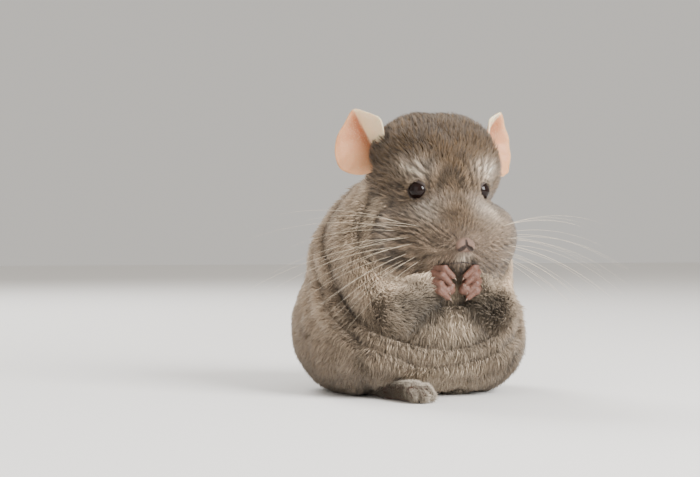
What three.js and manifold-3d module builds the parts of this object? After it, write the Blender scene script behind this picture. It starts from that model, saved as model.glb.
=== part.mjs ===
// A chinchilla, life size, sitting up on its haunches with both hands held together under its mouth.
// Millimetres, +Z up. The animal faces -Y, and +X is its left side. The origin is on the floor, under the
// middle of the flat seat of the body. Places are given as (side, ahead, up): side grows to the animal's
// left, ahead grows towards its nose, and up grows from the floor.
// Each fleshy part is a smooth blend of egg-shaped masses and tapering limbs. The surface stands for the
// outside of the plush coat, and the parts meet face to face with a thin gap.
import * as THREE from "three";
import { mergeVertices } from "three/addons/utils/BufferGeometryUtils.js";
import Module from "manifold-3d";

const wasm = await Module();
wasm.setup();

// Driving sizes
const sittingHeight = 150;
const bodyWidth = 126;
const bodyDepth = 132;
const headWidth = 70;
const cheekWidth = 78;
const eyeDiameter = 11;
const earHeight = 36;
const earThickness = 1.4;
const handWidth = 13.5;
const footLength = 60;
const tailLength = 106;
const tailCoatRadius = 12;
const whiskerLength = 108;
const gap = 0.3;

// The head leans a little to the animal's left of the seat, and so do the hands.
const headSide = 3.8;
const handsSide = 2;

const seed = 7;

const at = (side, ahead, up) => new THREE.Vector3(side, -ahead, up);
const half = (across, along, upright) => new THREE.Vector3(across, along, upright);
const rightAndLeft = [
  ["right", -1],
  ["left", 1],
];
const bothSides = (make) => rightAndLeft.map(([, side]) => make(side));

// A repeatable stream of numbers from 0 to 1.
function numberStream(start) {
  let state = start;
  return () => {
    state = (state * 16807) % 2147483647;
    return state / 2147483647;
  };
}
const chance = numberStream(seed);
const vary = (middle, spread) => middle + spread * (2 * chance() - 1);

// Forms: each is a function of a point that gives its distance outside the surface, less than 0 inside.

// An egg-shaped mass, nodded about the side axis and swung about the upright one, in degrees.
function mass(middle, halves, nod = 0, swing = 0) {
  const turn = new THREE.Euler(THREE.MathUtils.degToRad(nod), 0, THREE.MathUtils.degToRad(swing), "ZYX");
  const toOwnAxes = new THREE.Matrix4()
    .compose(middle, new THREE.Quaternion().setFromEuler(turn), new THREE.Vector3(1, 1, 1))
    .invert();
  const own = new THREE.Vector3();
  return (point) => {
    own.copy(point).applyMatrix4(toOwnAxes).divide(halves);
    const share = own.length();
    const steepness = own.divide(halves).length();
    return steepness > 0 ? (share * (share - 1)) / steepness : -halves.x;
  };
}

// A straight limb with round ends that tapers from one radius to another.
function limb(start, end, startRadius, endRadius) {
  const run = end.clone().sub(start);
  const own = new THREE.Vector3();
  return (point) => {
    const share = THREE.MathUtils.clamp(own.copy(point).sub(start).dot(run) / run.lengthSq(), 0, 1);
    own.copy(start).addScaledVector(run, share);
    return own.distanceTo(point) - THREE.MathUtils.lerp(startRadius, endRadius, share);
  };
}

// Several forms grown into one, with rounded hollows where they meet.
function blended(forms, roundness) {
  return (point) =>
    forms
      .map((form) => form(point))
      .reduce((nearest, next) => {
        const overlap = Math.max(roundness - Math.abs(nearest - next), 0) / roundness;
        return Math.min(nearest, next) - (overlap * overlap * roundness) / 4;
      });
}

const bump = (distance, width) => Math.exp(-((distance / width) ** 2));
const larger = (form, by) => (point) => form(point) - by;

// Solids: closed meshes that manifold-3d joins and cuts.

function solidOf(geometry) {
  const bare = geometry.clone();
  bare.deleteAttribute("normal");
  bare.deleteAttribute("uv");
  const merged = mergeVertices(bare, 1e-4);
  return new wasm.Manifold(
    new wasm.Mesh({
      numProp: 3,
      vertProperties: merged.attributes.position.array,
      triVerts: new Uint32Array(merged.index.array),
    }),
  );
}

function geometryOf(solid) {
  const mesh = solid.getMesh();
  const places = new Float32Array(mesh.numVert * 3);
  for (let i = 0; i < mesh.numVert; i++) {
    places.set(mesh.vertProperties.subarray(i * mesh.numProp, i * mesh.numProp + 3), i * 3);
  }
  const geometry = new THREE.BufferGeometry();
  geometry.setAttribute("position", new THREE.BufferAttribute(places, 3));
  geometry.setIndex(new THREE.BufferAttribute(mesh.triVerts, 1));
  geometry.computeVertexNormals();
  return geometry;
}

// A closed sheet or ball whose faces may have come out pointing inwards is turned the right way out.
function outward(geometry) {
  const made = solidOf(geometry);
  if (made.volume() > 0) return made;
  const turned = geometry.clone();
  const corners = turned.index.array;
  for (let i = 0; i < corners.length; i += 3) [corners[i + 1], corners[i + 2]] = [corners[i + 2], corners[i + 1]];
  return solidOf(turned);
}

// The largest closed surface alone, without sealed hollows and loose scraps.
const largest = (solid) => solid.decompose().sort((a, b) => b.volume() - a.volume())[0];

const joined = (solids) => solids.reduce((whole, next) => whole.add(next));
const without = (solid, cutters) => cutters.reduce((rest, cutter) => rest.subtract(cutter), solid);
const aboveFloor = (solid) => solid.trimByPlane([0, 0, 1], 0);

// One side of a parting plane through a point: the part beyond it along a direction, or the part before it.
function parted(solid, point, along, keepBeyond) {
  const normal = along.clone().normalize();
  if (!keepBeyond) normal.negate();
  return solid.trimByPlane(normal.toArray(), point.dot(normal) + gap / 2);
}

// A ball of rays from a middle, each vertex set where its own ray leaves the form. Lean draws the rays
// towards one direction, so that the faces are finer there.
function rayBall(middle, fineness, form, lean = new THREE.Vector3()) {
  const reach = 110;
  const step = 2;
  const ball = new THREE.IcosahedronGeometry(1, fineness);
  const spots = ball.attributes.position;
  const ray = new THREE.Vector3();
  const spot = new THREE.Vector3();
  const distanceAt = (along) => form(spot.copy(middle).addScaledVector(ray, along));
  for (let i = 0; i < spots.count; i++) {
    ray.fromBufferAttribute(spots, i).add(lean).normalize();
    let outside = reach;
    while (outside > step && distanceAt(outside - step) > 0) outside -= step;
    let inside = Math.max(outside - step, 0);
    for (let halving = 0; halving < 18; halving++) {
      const between = (inside + outside) / 2;
      if (distanceAt(between) > 0) outside = between;
      else inside = between;
    }
    distanceAt(inside);
    spots.setXYZ(i, spot.x, spot.y, spot.z);
  }
  return solidOf(ball);
}

// A closed tapering tube with blunt ends along a curve: the rings of a round ball ride along the curve.
// Wide and thick stretch each ring across and square to the reference direction.
function swept(points, radii, { sides = 8, rings = 8, wide = 1, thick = 1, reference = at(0, 0, 1), blunt = 4 } = {}) {
  const curve = new THREE.CatmullRomCurve3(points);
  const shape = new THREE.SphereGeometry(1, sides, rings);
  const spots = shape.attributes.position;
  const lastRadius = radii.length - 1;
  for (let i = 0; i < spots.count; i++) {
    const height = THREE.MathUtils.clamp(spots.getY(i), -1, 1);
    const share = (1 - height) / 2;
    const ringSize = Math.hypot(spots.getX(i), spots.getZ(i));
    const pick = Math.min(Math.floor(share * lastRadius), lastRadius - 1);
    const radius = THREE.MathUtils.lerp(radii[pick], radii[pick + 1], share * lastRadius - pick);
    const endRounding = Math.sqrt(Math.max(0, 1 - Math.abs(height) ** blunt));
    const onCurve = curve.getPoint(share);
    const ahead = curve.getTangent(share);
    const across = new THREE.Vector3().crossVectors(ahead, reference).normalize();
    const upward = new THREE.Vector3().crossVectors(across, ahead);
    const size = ringSize > 1e-6 ? (radius * endRounding) / ringSize : 0;
    onCurve.addScaledVector(across, spots.getX(i) * size * wide);
    onCurve.addScaledVector(upward, spots.getZ(i) * size * thick);
    spots.setXYZ(i, onCurve.x, onCurve.y, onCurve.z);
  }
  return outward(shape);
}

// Head. Sides are counted from headSide, its own middle plane.
const onHead = (side, ahead, up) => at(headSide + side, ahead, up);
const skullHalf = headWidth / 2;
const cheekHalf = cheekWidth / 2;
const noseAhead = 78;
const noseUp = 80;
const eyeSide = 20.5;
const eyeAhead = noseAhead - 20.5;
const eyeUp = 108.8;
const eyeRadius = eyeDiameter / 2;
const eyeOutward = THREE.MathUtils.degToRad(45);

const headForm = blended(
  [
    mass(onHead(0, 30, sittingHeight - 32), half(skullHalf - 1, 31.5, 32)),
    mass(onHead(0, 46, 105), half(22.5, 21, 30)),
    mass(onHead(0, 57, 93), half(15, 14, 14)),
    mass(onHead(0, noseAhead - 19, noseUp + 1), half(15, 18.5, 13.5)),
    mass(onHead(0, noseAhead - 21, 69), half(12, 13, 7)),
    ...rightAndLeft.flatMap(([, side]) => [
      mass(onHead(side * 12, 30, sittingHeight - 28), half(22.5, 26, 26.5)),
      mass(onHead(side * 12.5, noseAhead - 17, noseUp), half(14, 14, 12)),
      mass(onHead(side * (cheekHalf - 19), 49, 83), half(18, 22, 20)),
      mass(onHead(side * 15, 51, 120), half(8.5, 7.5, 7)),
    ]),
  ],
  8,
);

// The direction in which each eye looks, and the middle of its ball.
const eyeLook = (side) => at(side * Math.sin(eyeOutward), Math.cos(eyeOutward), 0.14).normalize();
const eyeMiddle = (side) =>
  onHead(side * eyeSide, eyeAhead, eyeUp).addScaledVector(eyeLook(side), -eyeRadius);

// Orbits sink the coat round each eye, and the bridge of the nose sinks a little between the pads.
const carvedHead = (point) => {
  const orbit = Math.min(...bothSides((side) => point.distanceTo(eyeMiddle(side))));
  const bridge = Math.hypot((point.x - headSide) / 6, (point.z - 96) / 12);
  return headForm(point) + 1.6 * bump(orbit - 3, 8) + 0.6 * bump(bridge, 1);
};

// Upper and lower lids: a ring round the front of the ball, longer than it is high.
function lids(side) {
  const ring = new THREE.TorusGeometry(eyeRadius * 0.86, 1.2, 5, 14);
  ring.scale(1.06, 1, 1);
  ring.lookAt(eyeLook(side));
  const middle = eyeMiddle(side).addScaledVector(eyeLook(side), eyeRadius * 0.5);
  ring.translate(middle.x, middle.y, middle.z);
  return solidOf(ring);
}

function eyeBall(side, extra = 0) {
  const ball = new THREE.IcosahedronGeometry(eyeRadius + extra, 2);
  const middle = eyeMiddle(side);
  ball.translate(middle.x, middle.y, middle.z);
  return solidOf(ball);
}

// The bare nose pad, the comma-shaped nostrils, the cleft under them and the line of the mouth.
const lipAhead = noseAhead - 4.2;
const mouthUp = noseUp - 8.8;
const nosePad = () =>
  rayBall(onHead(0, noseAhead - 3, noseUp), 3, mass(onHead(0, noseAhead - 2.2, noseUp), half(6, 2.8, 5)));

const nostril = (side) =>
  swept(
    [
      onHead(side * 0.8, noseAhead + 1.4, noseUp + 1.4),
      onHead(side * 2.2, noseAhead + 1, noseUp - 1.4),
      onHead(side * 4.4, noseAhead - 0.8, noseUp - 2.2),
    ],
    [0.5, 0.95, 0.6],
    { sides: 6, rings: 6 },
  );

const cleft = () =>
  swept(
    [
      onHead(0, noseAhead, noseUp - 2.6),
      onHead(0, noseAhead - 2, noseUp - 5.2),
      onHead(0, lipAhead, mouthUp),
    ],
    [0.6, 0.8, 1],
    { sides: 6, rings: 6, reference: at(0, 1, 0) },
  );

const mouthLine = (side) =>
  swept(
    [
      onHead(0, lipAhead, mouthUp),
      onHead(side * 6, lipAhead - 0.8, mouthUp - 0.6),
      onHead(side * 12, lipAhead - 3, mouthUp - 1.7),
    ],
    [1, 1, 0.7],
    { sides: 6, rings: 7 },
  );

// Whiskers fan from rows on each pad, outwards, with their tips hanging.
const rowRise = [0.42, 0.2, -0.12];
const rowReach = [0.8, 1, 0.85];
const whiskersInRow = 3;
function whiskers(side) {
  const made = [];
  for (let row = 0; row < rowRise.length; row++) {
    for (let place = 0; place < whiskersInRow; place++) {
      const reach = whiskerLength * rowReach[row] * (1 - 0.1 * place) * vary(0.96, 0.04);
      const rise = rowRise[row] - 0.11 * place + vary(0, 0.03);
      const out = at(side, -0.32 + 0.2 * place + vary(0, 0.04), rise).normalize();
      const root = onHead(side * (17 - 2.5 * place), noseAhead - 14 + 2.5 * place, noseUp + 7 - 5 * row);
      const points = [0, 0.25, 0.5, 0.75, 1].map((share) => {
        const hang = reach * (0.3 + 0.05 * row) * share ** 2;
        return root.clone().addScaledVector(out, reach * 0.96 * share).add(at(0, -0.1 * reach * share ** 2, -hang));
      });
      made.push(swept(points, [0.48, 0.4, 0.22], { sides: 3, rings: 6, blunt: 10, reference: at(0, 1, 0.3) }));
    }
  }
  return made;
}

const headMiddle = onHead(0, 44, 100);
const headLean = at(0, 0.42, -0.12);
const headSpace = (space) => rayBall(headMiddle, 11, larger(carvedHead, space), headLean);
const headSolid = largest(
  joined([rayBall(headMiddle, 11, carvedHead, headLean), nosePad(), ...bothSides(lids)])
    .subtract(joined([cleft(), ...bothSides(nostril), ...bothSides(mouthLine)]))
    .subtract(joined(bothSides((side) => eyeBall(side, gap))))
    .add(joined(bothSides(whiskers).flat())),
);

// Ears: a deep cup swept back from the temple, pointed at the top and squared off low on its outer side,
// with a sharp fold down it. Each straight edge of its outline has the way it faces, in degrees round from
// outwards, and its distance from the middle as a share of the ear's height.
const earEdges = [
  [0, 0.4],
  [40, 0.342],
  [118, 0.439],
  [180, 0.43],
  [-140, 0.5],
  [-92, 0.517],
  [-56, 0.5],
];
const earRim = (angle) =>
  earEdges.reduce((total, [facing, distance]) => {
    const nearness = Math.max(Math.cos(angle - THREE.MathUtils.degToRad(facing)), 0);
    return total + (nearness / (distance * earHeight)) ** 10;
  }, 0) **
  (-1 / 10);
const earFold = (height) => 0.8 - 0.0115 * (17.6 - height) ** 2;
const earSweep = THREE.MathUtils.degToRad(45);
const earMiddle = (side) => onHead(side * 41.5, 25.5, sittingHeight - 15);
function ear(side) {
  const rings = 4;
  const spokes = 18;
  const cupDepth = 8;
  const facing = at(side * Math.sin(earSweep), Math.cos(earSweep), 0.05).normalize();
  const upward = at(side * 0.1, -0.12, 1).projectOnPlane(facing).normalize();
  const outwards = new THREE.Vector3().crossVectors(upward, facing).multiplyScalar(side).normalize();
  if (outwards.x * side < 0) outwards.negate();
  const spotOn = (share, angle, lift) => {
    const width = Math.cos(angle) * share * earRim(angle);
    const height = Math.sin(angle) * share * earRim(angle);
    const sink = -cupDepth * (1 - share ** 1.7) - 1.4 * bump(share - 1, 0.12);
    const crease = 3.2 * Math.exp(-Math.abs(width - earFold(height)) / 3) * (1 - share ** 4);
    return earMiddle(side)
      .addScaledVector(outwards, width)
      .addScaledVector(upward, height)
      .addScaledVector(facing, sink - crease + lift);
  };
  const places = [];
  const corners = [];
  for (const lift of [0, -earThickness]) {
    places.push(...spotOn(0, 0, lift).toArray());
    for (let ring = 1; ring <= rings; ring++) {
      for (let spoke = 0; spoke < spokes; spoke++) {
        places.push(...spotOn(ring / rings, (2 * Math.PI * spoke) / spokes, lift).toArray());
      }
    }
  }
  const sheetSize = 1 + rings * spokes;
  const corner = (sheet, ring, spoke) => sheet * sheetSize + 1 + (ring - 1) * spokes + (spoke % spokes);
  for (const sheet of [0, 1]) {
    const addFace = (a, b, c) => corners.push(...(sheet === 0 ? [a, b, c] : [a, c, b]));
    for (let spoke = 0; spoke < spokes; spoke++) {
      addFace(sheet * sheetSize, corner(sheet, 1, spoke), corner(sheet, 1, spoke + 1));
      for (let ring = 1; ring < rings; ring++) {
        addFace(corner(sheet, ring, spoke), corner(sheet, ring + 1, spoke), corner(sheet, ring + 1, spoke + 1));
        addFace(corner(sheet, ring, spoke), corner(sheet, ring + 1, spoke + 1), corner(sheet, ring, spoke + 1));
      }
    }
  }
  for (let spoke = 0; spoke < spokes; spoke++) {
    const front = [corner(0, rings, spoke), corner(0, rings, spoke + 1)];
    const back = [corner(1, rings, spoke), corner(1, rings, spoke + 1)];
    corners.push(front[0], back[0], back[1], front[0], back[1], front[1]);
  }
  const shell = new THREE.BufferGeometry();
  shell.setAttribute("position", new THREE.BufferAttribute(new Float32Array(places), 3));
  shell.setIndex(corners);
  return outward(shell);
}

// Body: one pear-shaped form, parted afterwards into torso, neck and haunches.
const bodyHalf = bodyWidth / 2;
const depthHalf = bodyDepth / 2;
const haunchForm = (side) => mass(at(side * (bodyHalf - 29), 5, 29), half(27, 52, 31), 2, side * -7);
const bodyMasses = blended(
  [
    mass(at(0, -4, 43), half(bodyHalf - 4, depthHalf - 3, 45)),
    mass(at(-3, 6, 74), half(bodyHalf - 9, 50, 40), -14),
    mass(at(-1, 6, 92), half(37, 42, 32), -18),
    mass(at(0, 32, 40), half(43, 34, 36)),
    ...bothSides(haunchForm),
  ],
  14,
);

// Soft folds of the coat: a ruff behind the head, a groove round each haunch, one across the belly and
// one down the middle of it.
const haunchCutter = (side) => mass(at(side * bodyHalf, 3, 22), half(42, 51, 39));
const bodyForm = (point) => {
  const front = THREE.MathUtils.smoothstep(-point.y, -25, 25);
  const fromHead = headForm(point);
  const ruff = 1.3 * Math.cos(((fromHead - 1) * Math.PI) / 7) * bump(fromHead - 4, 12);
  const fromHaunch = Math.min(...bothSides((side) => haunchCutter(side)(point)));
  const haunchGroove = 2 * front * bump(fromHaunch, 4.5);
  const bellyFold = 1.6 * front * bump(point.z - 36 - 0.004 * point.x ** 2, 5) * bump(point.x, 34);
  const parting = 1.3 * front * bump(point.x, 4) * bump(point.z - 42, 16);
  return bodyMasses(point) + ruff + haunchGroove + bellyFold + parting;
};
const bodyMiddle = at(0, 8, 58);
const bodyLean = at(0, 0.25, -0.05);

// Hind feet: a long sole flat on the floor with three long toes. The left one is drawn further back.
const footDrawnBack = { right: 0, left: 28 };
function foot(name, side) {
  const back = footDrawnBack[name];
  const heel = at(side * 30, 72 - footLength - back, 5);
  const instep = at(side * 24, 42 - back, 6.5);
  const ball = at(side * 18, 60 - back, 5);
  const sole = swept([heel, instep, ball], [6, 7, 6.4], { sides: 9, rings: 6, wide: 1.1 });
  const toes = [-1, 0, 1].map((place) => {
    const start = ball.clone().add(at(place * 2.6, -2, 0));
    const tip = at(side * 16 + place * 4.4, 71 - back - 2.5 * Math.abs(place), 3.6);
    const knuckle = start.clone().lerp(tip, 0.55).add(at(0, 0, 1.6));
    return swept([start, knuckle, tip], [3, 3.1, 2.3], { sides: 6, rings: 5 });
  });
  const beyondToes = at(side * 16, 76 - back, 4);
  const space = swept([heel, instep, ball, beyondToes], [7.8, 8.8, 9.2, 9.6], { sides: 9, rings: 8, wide: 1.2 });
  return { solid: aboveFloor(joined([sole, ...toes])), space };
}

// Forelegs: a heavy sleeve of coat from the shoulder to the elbow, then the forearm up to the wrist.
const handAhead = 69;
const handUp = 65.5;
const handSide = 7.1;
const shoulder = (side) => at(side * 32, 32, 70);
const elbow = (side) => at(side * 27, 54, 47);
const wrist = (side) => at(handsSide + side * 11.5, 63.5, 56.5);
const forelegForm = (side) =>
  blended(
    [
      limb(shoulder(side), elbow(side), 14, 11),
      limb(elbow(side), wrist(side), 10.5, 5.4),
      limb(shoulder(side).add(at(side * -4, 8, 0)), wrist(side).add(at(side * 3, -2, 3)), 10, 5),
    ],
    7,
  );
const foreleg = (side) => rayBall(at(side * 25, 52, 56), 5, forelegForm(side), at(side * -0.15, 0.2, 0.05));

// Hands: a palm with its pad, four slender fingers bent in towards the middle, and the stub of a thumb.
// Each finger lies so far below the first, and its knuckle so far outwards.
const fingerRows = [
  [0, 0],
  [3.4, 1.3],
  [7.6, 2.6],
  [11, 2.2],
];
function hand(side) {
  const size = handWidth / 12;
  const from = (across, ahead, up) =>
    at(handsSide + side * (handSide + across * size), handAhead + ahead * size, handUp + up * size);
  const palm = rayBall(from(1.6, -2.2, -3.4), 2, mass(from(1.6, -2.2, -3.4), half(5, 4.8, 6.2), 0, side * 20));
  const pad = rayBall(from(-2.6, 0.2, -7.2), 1, mass(from(-2.6, 0.2, -7.2), half(3.2, 2.9, 2.9)));
  const heelOfHand = swept([from(4, -7, -6.5), from(2.2, -4.5, -4.5), from(0, -1.5, -4)], [4.1, 4.3, 3.6], {
    sides: 7,
    rings: 5,
  });
  const fingers = fingerRows.map(([down, inward]) => {
    const knuckle = from(4.8 + 0.7 * inward, -1.4, 3.6 - down);
    const bend = from(1.6 + 0.8 * inward, 3.3 - 0.5 * inward, 3 - 0.98 * down);
    const tip = from(-3.4 + 1.1 * inward, 3 - 0.4 * inward, -0.6 - 0.72 * down);
    return swept([knuckle, bend, tip], [2.1, 2.05, 1.5], { sides: 6, rings: 4 });
  });
  const thumb = swept([from(-0.5, -1, -6), from(-2.6, 1.2, -6.6), from(-3.7, 1.8, -5.4)], [2.2, 2, 1.5], {
    sides: 6,
    rings: 5,
  });
  return joined([palm, pad, heelOfHand, thumb, ...fingers]);
}

// Tail: a short-haired root, then a brush of long coarse locks that lie back along it, all resting on the
// floor. The two are parted by a plane square to the tail.
const tailPath = new THREE.CatmullRomCurve3([
  at(0, -50, 15),
  at(1, -70, 11.5),
  at(5, -90, 10),
  at(12, -110, 9),
  at(21, -128, 8.5),
  at(32, -40 - tailLength, 8),
]);
const tailParting = 0.26;
const brushEnd = 0.9;
function tailCore(radii) {
  const points = [0, 0.2, 0.4, 0.6, 0.8, 1].map((share) => tailPath.getPoint(share * brushEnd));
  return swept(points, radii, { sides: 10, rings: 12, blunt: 12 });
}

const tailPart = (solid, keepBeyond) =>
  parted(solid, tailPath.getPoint(tailParting), tailPath.getTangent(tailParting), keepBeyond);

function tailLock(share, angle) {
  const length = vary(30, 4);
  const root = tailPath.getPoint(share);
  const along = tailPath.getTangent(share);
  const across = new THREE.Vector3().crossVectors(along, at(0, 0, 1)).normalize();
  const upward = new THREE.Vector3().crossVectors(across, along);
  const outwards = across.multiplyScalar(Math.cos(angle)).addScaledVector(upward, Math.sin(angle));
  const tipShare = Math.min(share + length / tailLength, 1);
  const overrun = length / tailLength - (tipShare - share);
  const tip = tailPath
    .getPoint(tipShare)
    .addScaledVector(tailPath.getTangent(tipShare), overrun * tailLength)
    .addScaledVector(outwards, tailCoatRadius * vary(0.9, 0.14) * (1 - overrun * 2));
  const rise = tailPath
    .getPoint((share + tipShare) / 2)
    .addScaledVector(outwards, tailCoatRadius * 0.95);
  const width = vary(3.6, 0.4);
  return swept([root.addScaledVector(outwards, 2.5), rise, tip], [width, width, width * 0.3], {
    sides: 4,
    rings: 4,
    thick: 0.5,
    blunt: 6,
    reference: outwards,
  });
}

function tailLocks() {
  const rows = 5;
  const around = 6;
  const made = [];
  for (let row = 0; row < rows; row++) {
    for (let place = 0; place < around; place++) {
      const share = tailParting - 0.02 + ((row + vary(0, 0.2)) / rows) * (brushEnd - tailParting);
      made.push(tailLock(share, (2 * Math.PI * (place + (row % 2) / 2 + vary(0, 0.15))) / around));
    }
  }
  return joined(made);
}

// Parting the body. Each cutter is drawn again a gap larger to cut its neighbour.
const neckForm = mass(at(0, 22, 122), half(62, 66, 32), -12);
const neckSpace = (space) => rayBall(at(0, 22, 120), 3, larger(neckForm, space));
const haunchSpace = (side, space) => rayBall(at(side * bodyHalf, 3, 22), 4, larger(haunchCutter(side), space));

const bodyWhole = aboveFloor(rayBall(bodyMiddle, 10, bodyForm, bodyLean));
const bodyWithGap = rayBall(bodyMiddle, 10, larger(bodyForm, gap), bodyLean);
const headWithGap = headSpace(gap);
const feet = new Map(rightAndLeft.map(([name, side]) => [name, foot(name, side)]));
const footSpaces = [...feet.values()].map((made) => made.space);
const headWithTwoGaps = headSpace(2 * gap);
const wristPart = (solid, side, keepBeyond) =>
  without(parted(solid, wrist(side), wrist(side).sub(elbow(side)), keepBeyond), [headWithTwoGaps, bodyWithGap]);

const neck = bodyWhole.intersect(neckSpace(0)).subtract(headWithGap);
const torso = without(bodyWhole, [
  neckSpace(gap),
  headWithGap,
  ...bothSides((side) => haunchSpace(side, gap)),
  ...footSpaces,
]);
const haunch = (side) => without(bodyWhole.intersect(haunchSpace(side, 0)).trimByPlane([side, 0, 0], gap), footSpaces);
const tailRadii = [10.5, 8.5, 7, 6, 6, 4.5];
const tailRoot = tailPart(aboveFloor(tailCore(tailRadii)), false).subtract(bodyWithGap);
const brushRadii = [6, 6, 6, 5.5, 5, 3];
const brush = tailPart(aboveFloor(tailCore(brushRadii).add(tailLocks())), true).subtract(bodyWithGap);

// Colours of the coat, the bare skin and the eyes
const coat = new THREE.MeshStandardMaterial({ color: 0x9c8b7a, roughness: 0.95, metalness: 0 });
const brushCoat = new THREE.MeshStandardMaterial({ color: 0x85705c, roughness: 0.95, metalness: 0 });
const bareSkin = new THREE.MeshStandardMaterial({ color: 0xc9a391, roughness: 0.6, metalness: 0 });
const eyeGloss = new THREE.MeshStandardMaterial({ color: 0x1c0f0c, roughness: 0.05, metalness: 0 });

function piece(name, solid, material) {
  const mesh = new THREE.Mesh(geometryOf(largest(solid)), material);
  mesh.name = name;
  return mesh;
}

const headGroup = new THREE.Group();
headGroup.add(piece("head", headSolid, coat));
for (const [name, side] of rightAndLeft) {
  headGroup.add(piece(`eye_${name}`, eyeBall(side), eyeGloss));
  headGroup.add(piece(`ear_${name}`, ear(side).subtract(headWithGap).subtract(bodyWithGap), bareSkin));
}

const bodyGroup = new THREE.Group();
bodyGroup.add(piece("torso", torso, coat));
bodyGroup.add(piece("neck", neck, coat));
for (const [name, side] of rightAndLeft) {
  bodyGroup.add(piece(`foreleg_${name}`, wristPart(foreleg(side), side, false), coat));
  bodyGroup.add(piece(`hand_${name}`, wristPart(hand(side), side, true), bareSkin));
  bodyGroup.add(piece(`haunch_${name}`, haunch(side), coat));
  bodyGroup.add(piece(`foot_${name}`, feet.get(name).solid, bareSkin));
}
bodyGroup.add(piece("tail_root", tailRoot, coat));
bodyGroup.add(piece("tail_brush", brush, brushCoat));

const chinchilla = new THREE.Group();
chinchilla.add(bodyGroup, headGroup);

export default chinchilla;
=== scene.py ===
"""Dresses the solids of a sitting chinchilla in skin, plush fur, eyes, ears, hands, feet, whiskers and tail.

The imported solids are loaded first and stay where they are. Each operator below builds one piece, or one
group of like pieces, round them. Shapes are worked out in millimetres and handed to Blender in metres.
Places are given as (side, ahead, up): side grows to the animal's left, ahead towards its nose, and up
from the floor. The animal faces -Y, and +X is its left side.
"""

import math

import bpy
import numpy as np
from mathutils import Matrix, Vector
from mathutils.kdtree import KDTree


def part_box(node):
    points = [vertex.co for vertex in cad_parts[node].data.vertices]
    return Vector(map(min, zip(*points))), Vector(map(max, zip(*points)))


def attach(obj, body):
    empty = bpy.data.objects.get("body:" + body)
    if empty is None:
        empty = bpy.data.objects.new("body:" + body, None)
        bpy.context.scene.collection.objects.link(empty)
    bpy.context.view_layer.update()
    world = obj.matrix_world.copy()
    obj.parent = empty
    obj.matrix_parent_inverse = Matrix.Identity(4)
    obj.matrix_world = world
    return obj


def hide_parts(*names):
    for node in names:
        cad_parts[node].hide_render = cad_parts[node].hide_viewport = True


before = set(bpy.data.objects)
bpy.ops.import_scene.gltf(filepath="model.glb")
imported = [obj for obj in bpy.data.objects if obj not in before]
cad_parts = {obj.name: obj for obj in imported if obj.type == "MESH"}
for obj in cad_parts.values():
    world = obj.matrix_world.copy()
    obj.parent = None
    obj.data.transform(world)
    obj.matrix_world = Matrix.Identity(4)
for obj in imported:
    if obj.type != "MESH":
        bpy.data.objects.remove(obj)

bl_info = {
    "name": "Sitting Chinchilla",
    "version": (1, 0, 0),
    "blender": (4, 5, 0),
    "location": "View3D > Sidebar > Chinchilla",
    "description": "Builds the skin, coat, face, ears, paws, whiskers and tail of a life-size chinchilla",
    "category": "Add Mesh",
}

MM = 0.001
BODY = "root"
BOTH_SIDES = {"right": -1, "left": 1}
SIDES = tuple(BOTH_SIDES.values())
FLESH_NODES = (
    "torso", "neck", "head", "foreleg_right", "foreleg_left", "haunch_right", "haunch_left", "tail_root",
)


def box_mm(node):
    """The lowest and highest corner of a solid, in millimetres."""
    return np.array(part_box(node)) / MM


def box_middle(node):
    return box_mm(node).mean(axis=0)


# Sizes of the body, in millimetres
HEAD_SIDE = box_middle("eye_right")[0] / 2 + box_middle("eye_left")[0] / 2
HANDS_SIDE = box_middle("hand_right")[0] / 2 + box_middle("hand_left")[0] / 2
SITTING_HEIGHT = 150.0
BODY_HALF = 63.0
DEPTH_HALF = 66.0
SKULL_HALF = 35.0
CHEEK_HALF = 39.0
NOSE_AHEAD = 78.0
NOSE_UP = 80.0
LIP_AHEAD = NOSE_AHEAD - 4.2
MOUTH_UP = NOSE_UP - 8.8
EYE_RADIUS = np.ptp(box_mm("eye_right"), axis=0)[2] / 2
EYE_TURN = math.radians(45)
EAR_SWEEP = math.radians(45)
HAND_AHEAD = 69.0
HAND_UP = 65.5
HAND_SIDE = 7.1
HAND_SIZE = 1.125
FOOT_LENGTH = 60.0
FOOT_DRAWN_BACK = {"right": 0.0, "left": 38.0}
TAIL_END = 151.0


def place(side, ahead, up):
    """A spot of the animal in the frame's axes."""
    return np.array((side, -ahead, up), float)


def on_head(side, ahead, up):
    return place(HEAD_SIDE + side, ahead, up)


def unit(vectors):
    """Vectors brought to length 1."""
    length = np.linalg.norm(vectors, axis=-1, keepdims=True)
    return vectors / np.maximum(length, 1e-9)


def bump(distance, width):
    """1 at distance 0, falling softly to nothing past the width."""
    return np.exp(-((distance / width) ** 2))


def rise(value, low, high):
    """0 below low, 1 above high, and a soft slope between."""
    share = np.clip((value - low) / (high - low), 0, 1)
    return share * share * (3 - 2 * share)


def mix(first, second, share):
    return first + (second - first) * share


def mix_rows(first, second, share):
    """Colours or directions mixed row by row, each by its own share."""
    return mix(np.asarray(first), np.asarray(second), share[:, None])


def apart(points, spot):
    """How far each of the points is from a spot."""
    return np.linalg.norm(points - spot, axis=1)


def waves(points, size, seed):
    """Soft random hills from -1 to 1 over the spots, about one size apart."""
    draw = np.random.default_rng(seed)
    total = np.zeros(len(points))
    for _ in range(7):
        heading = unit(draw.normal(size=3)) * (2 * math.pi / size) * draw.uniform(0.6, 1.5)
        total += np.sin(points @ heading + draw.uniform(0, 2 * math.pi))
    return total / 3.2


# Forms: each takes an array of spots and gives their distance outside the surface, less than 0 inside.


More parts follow.
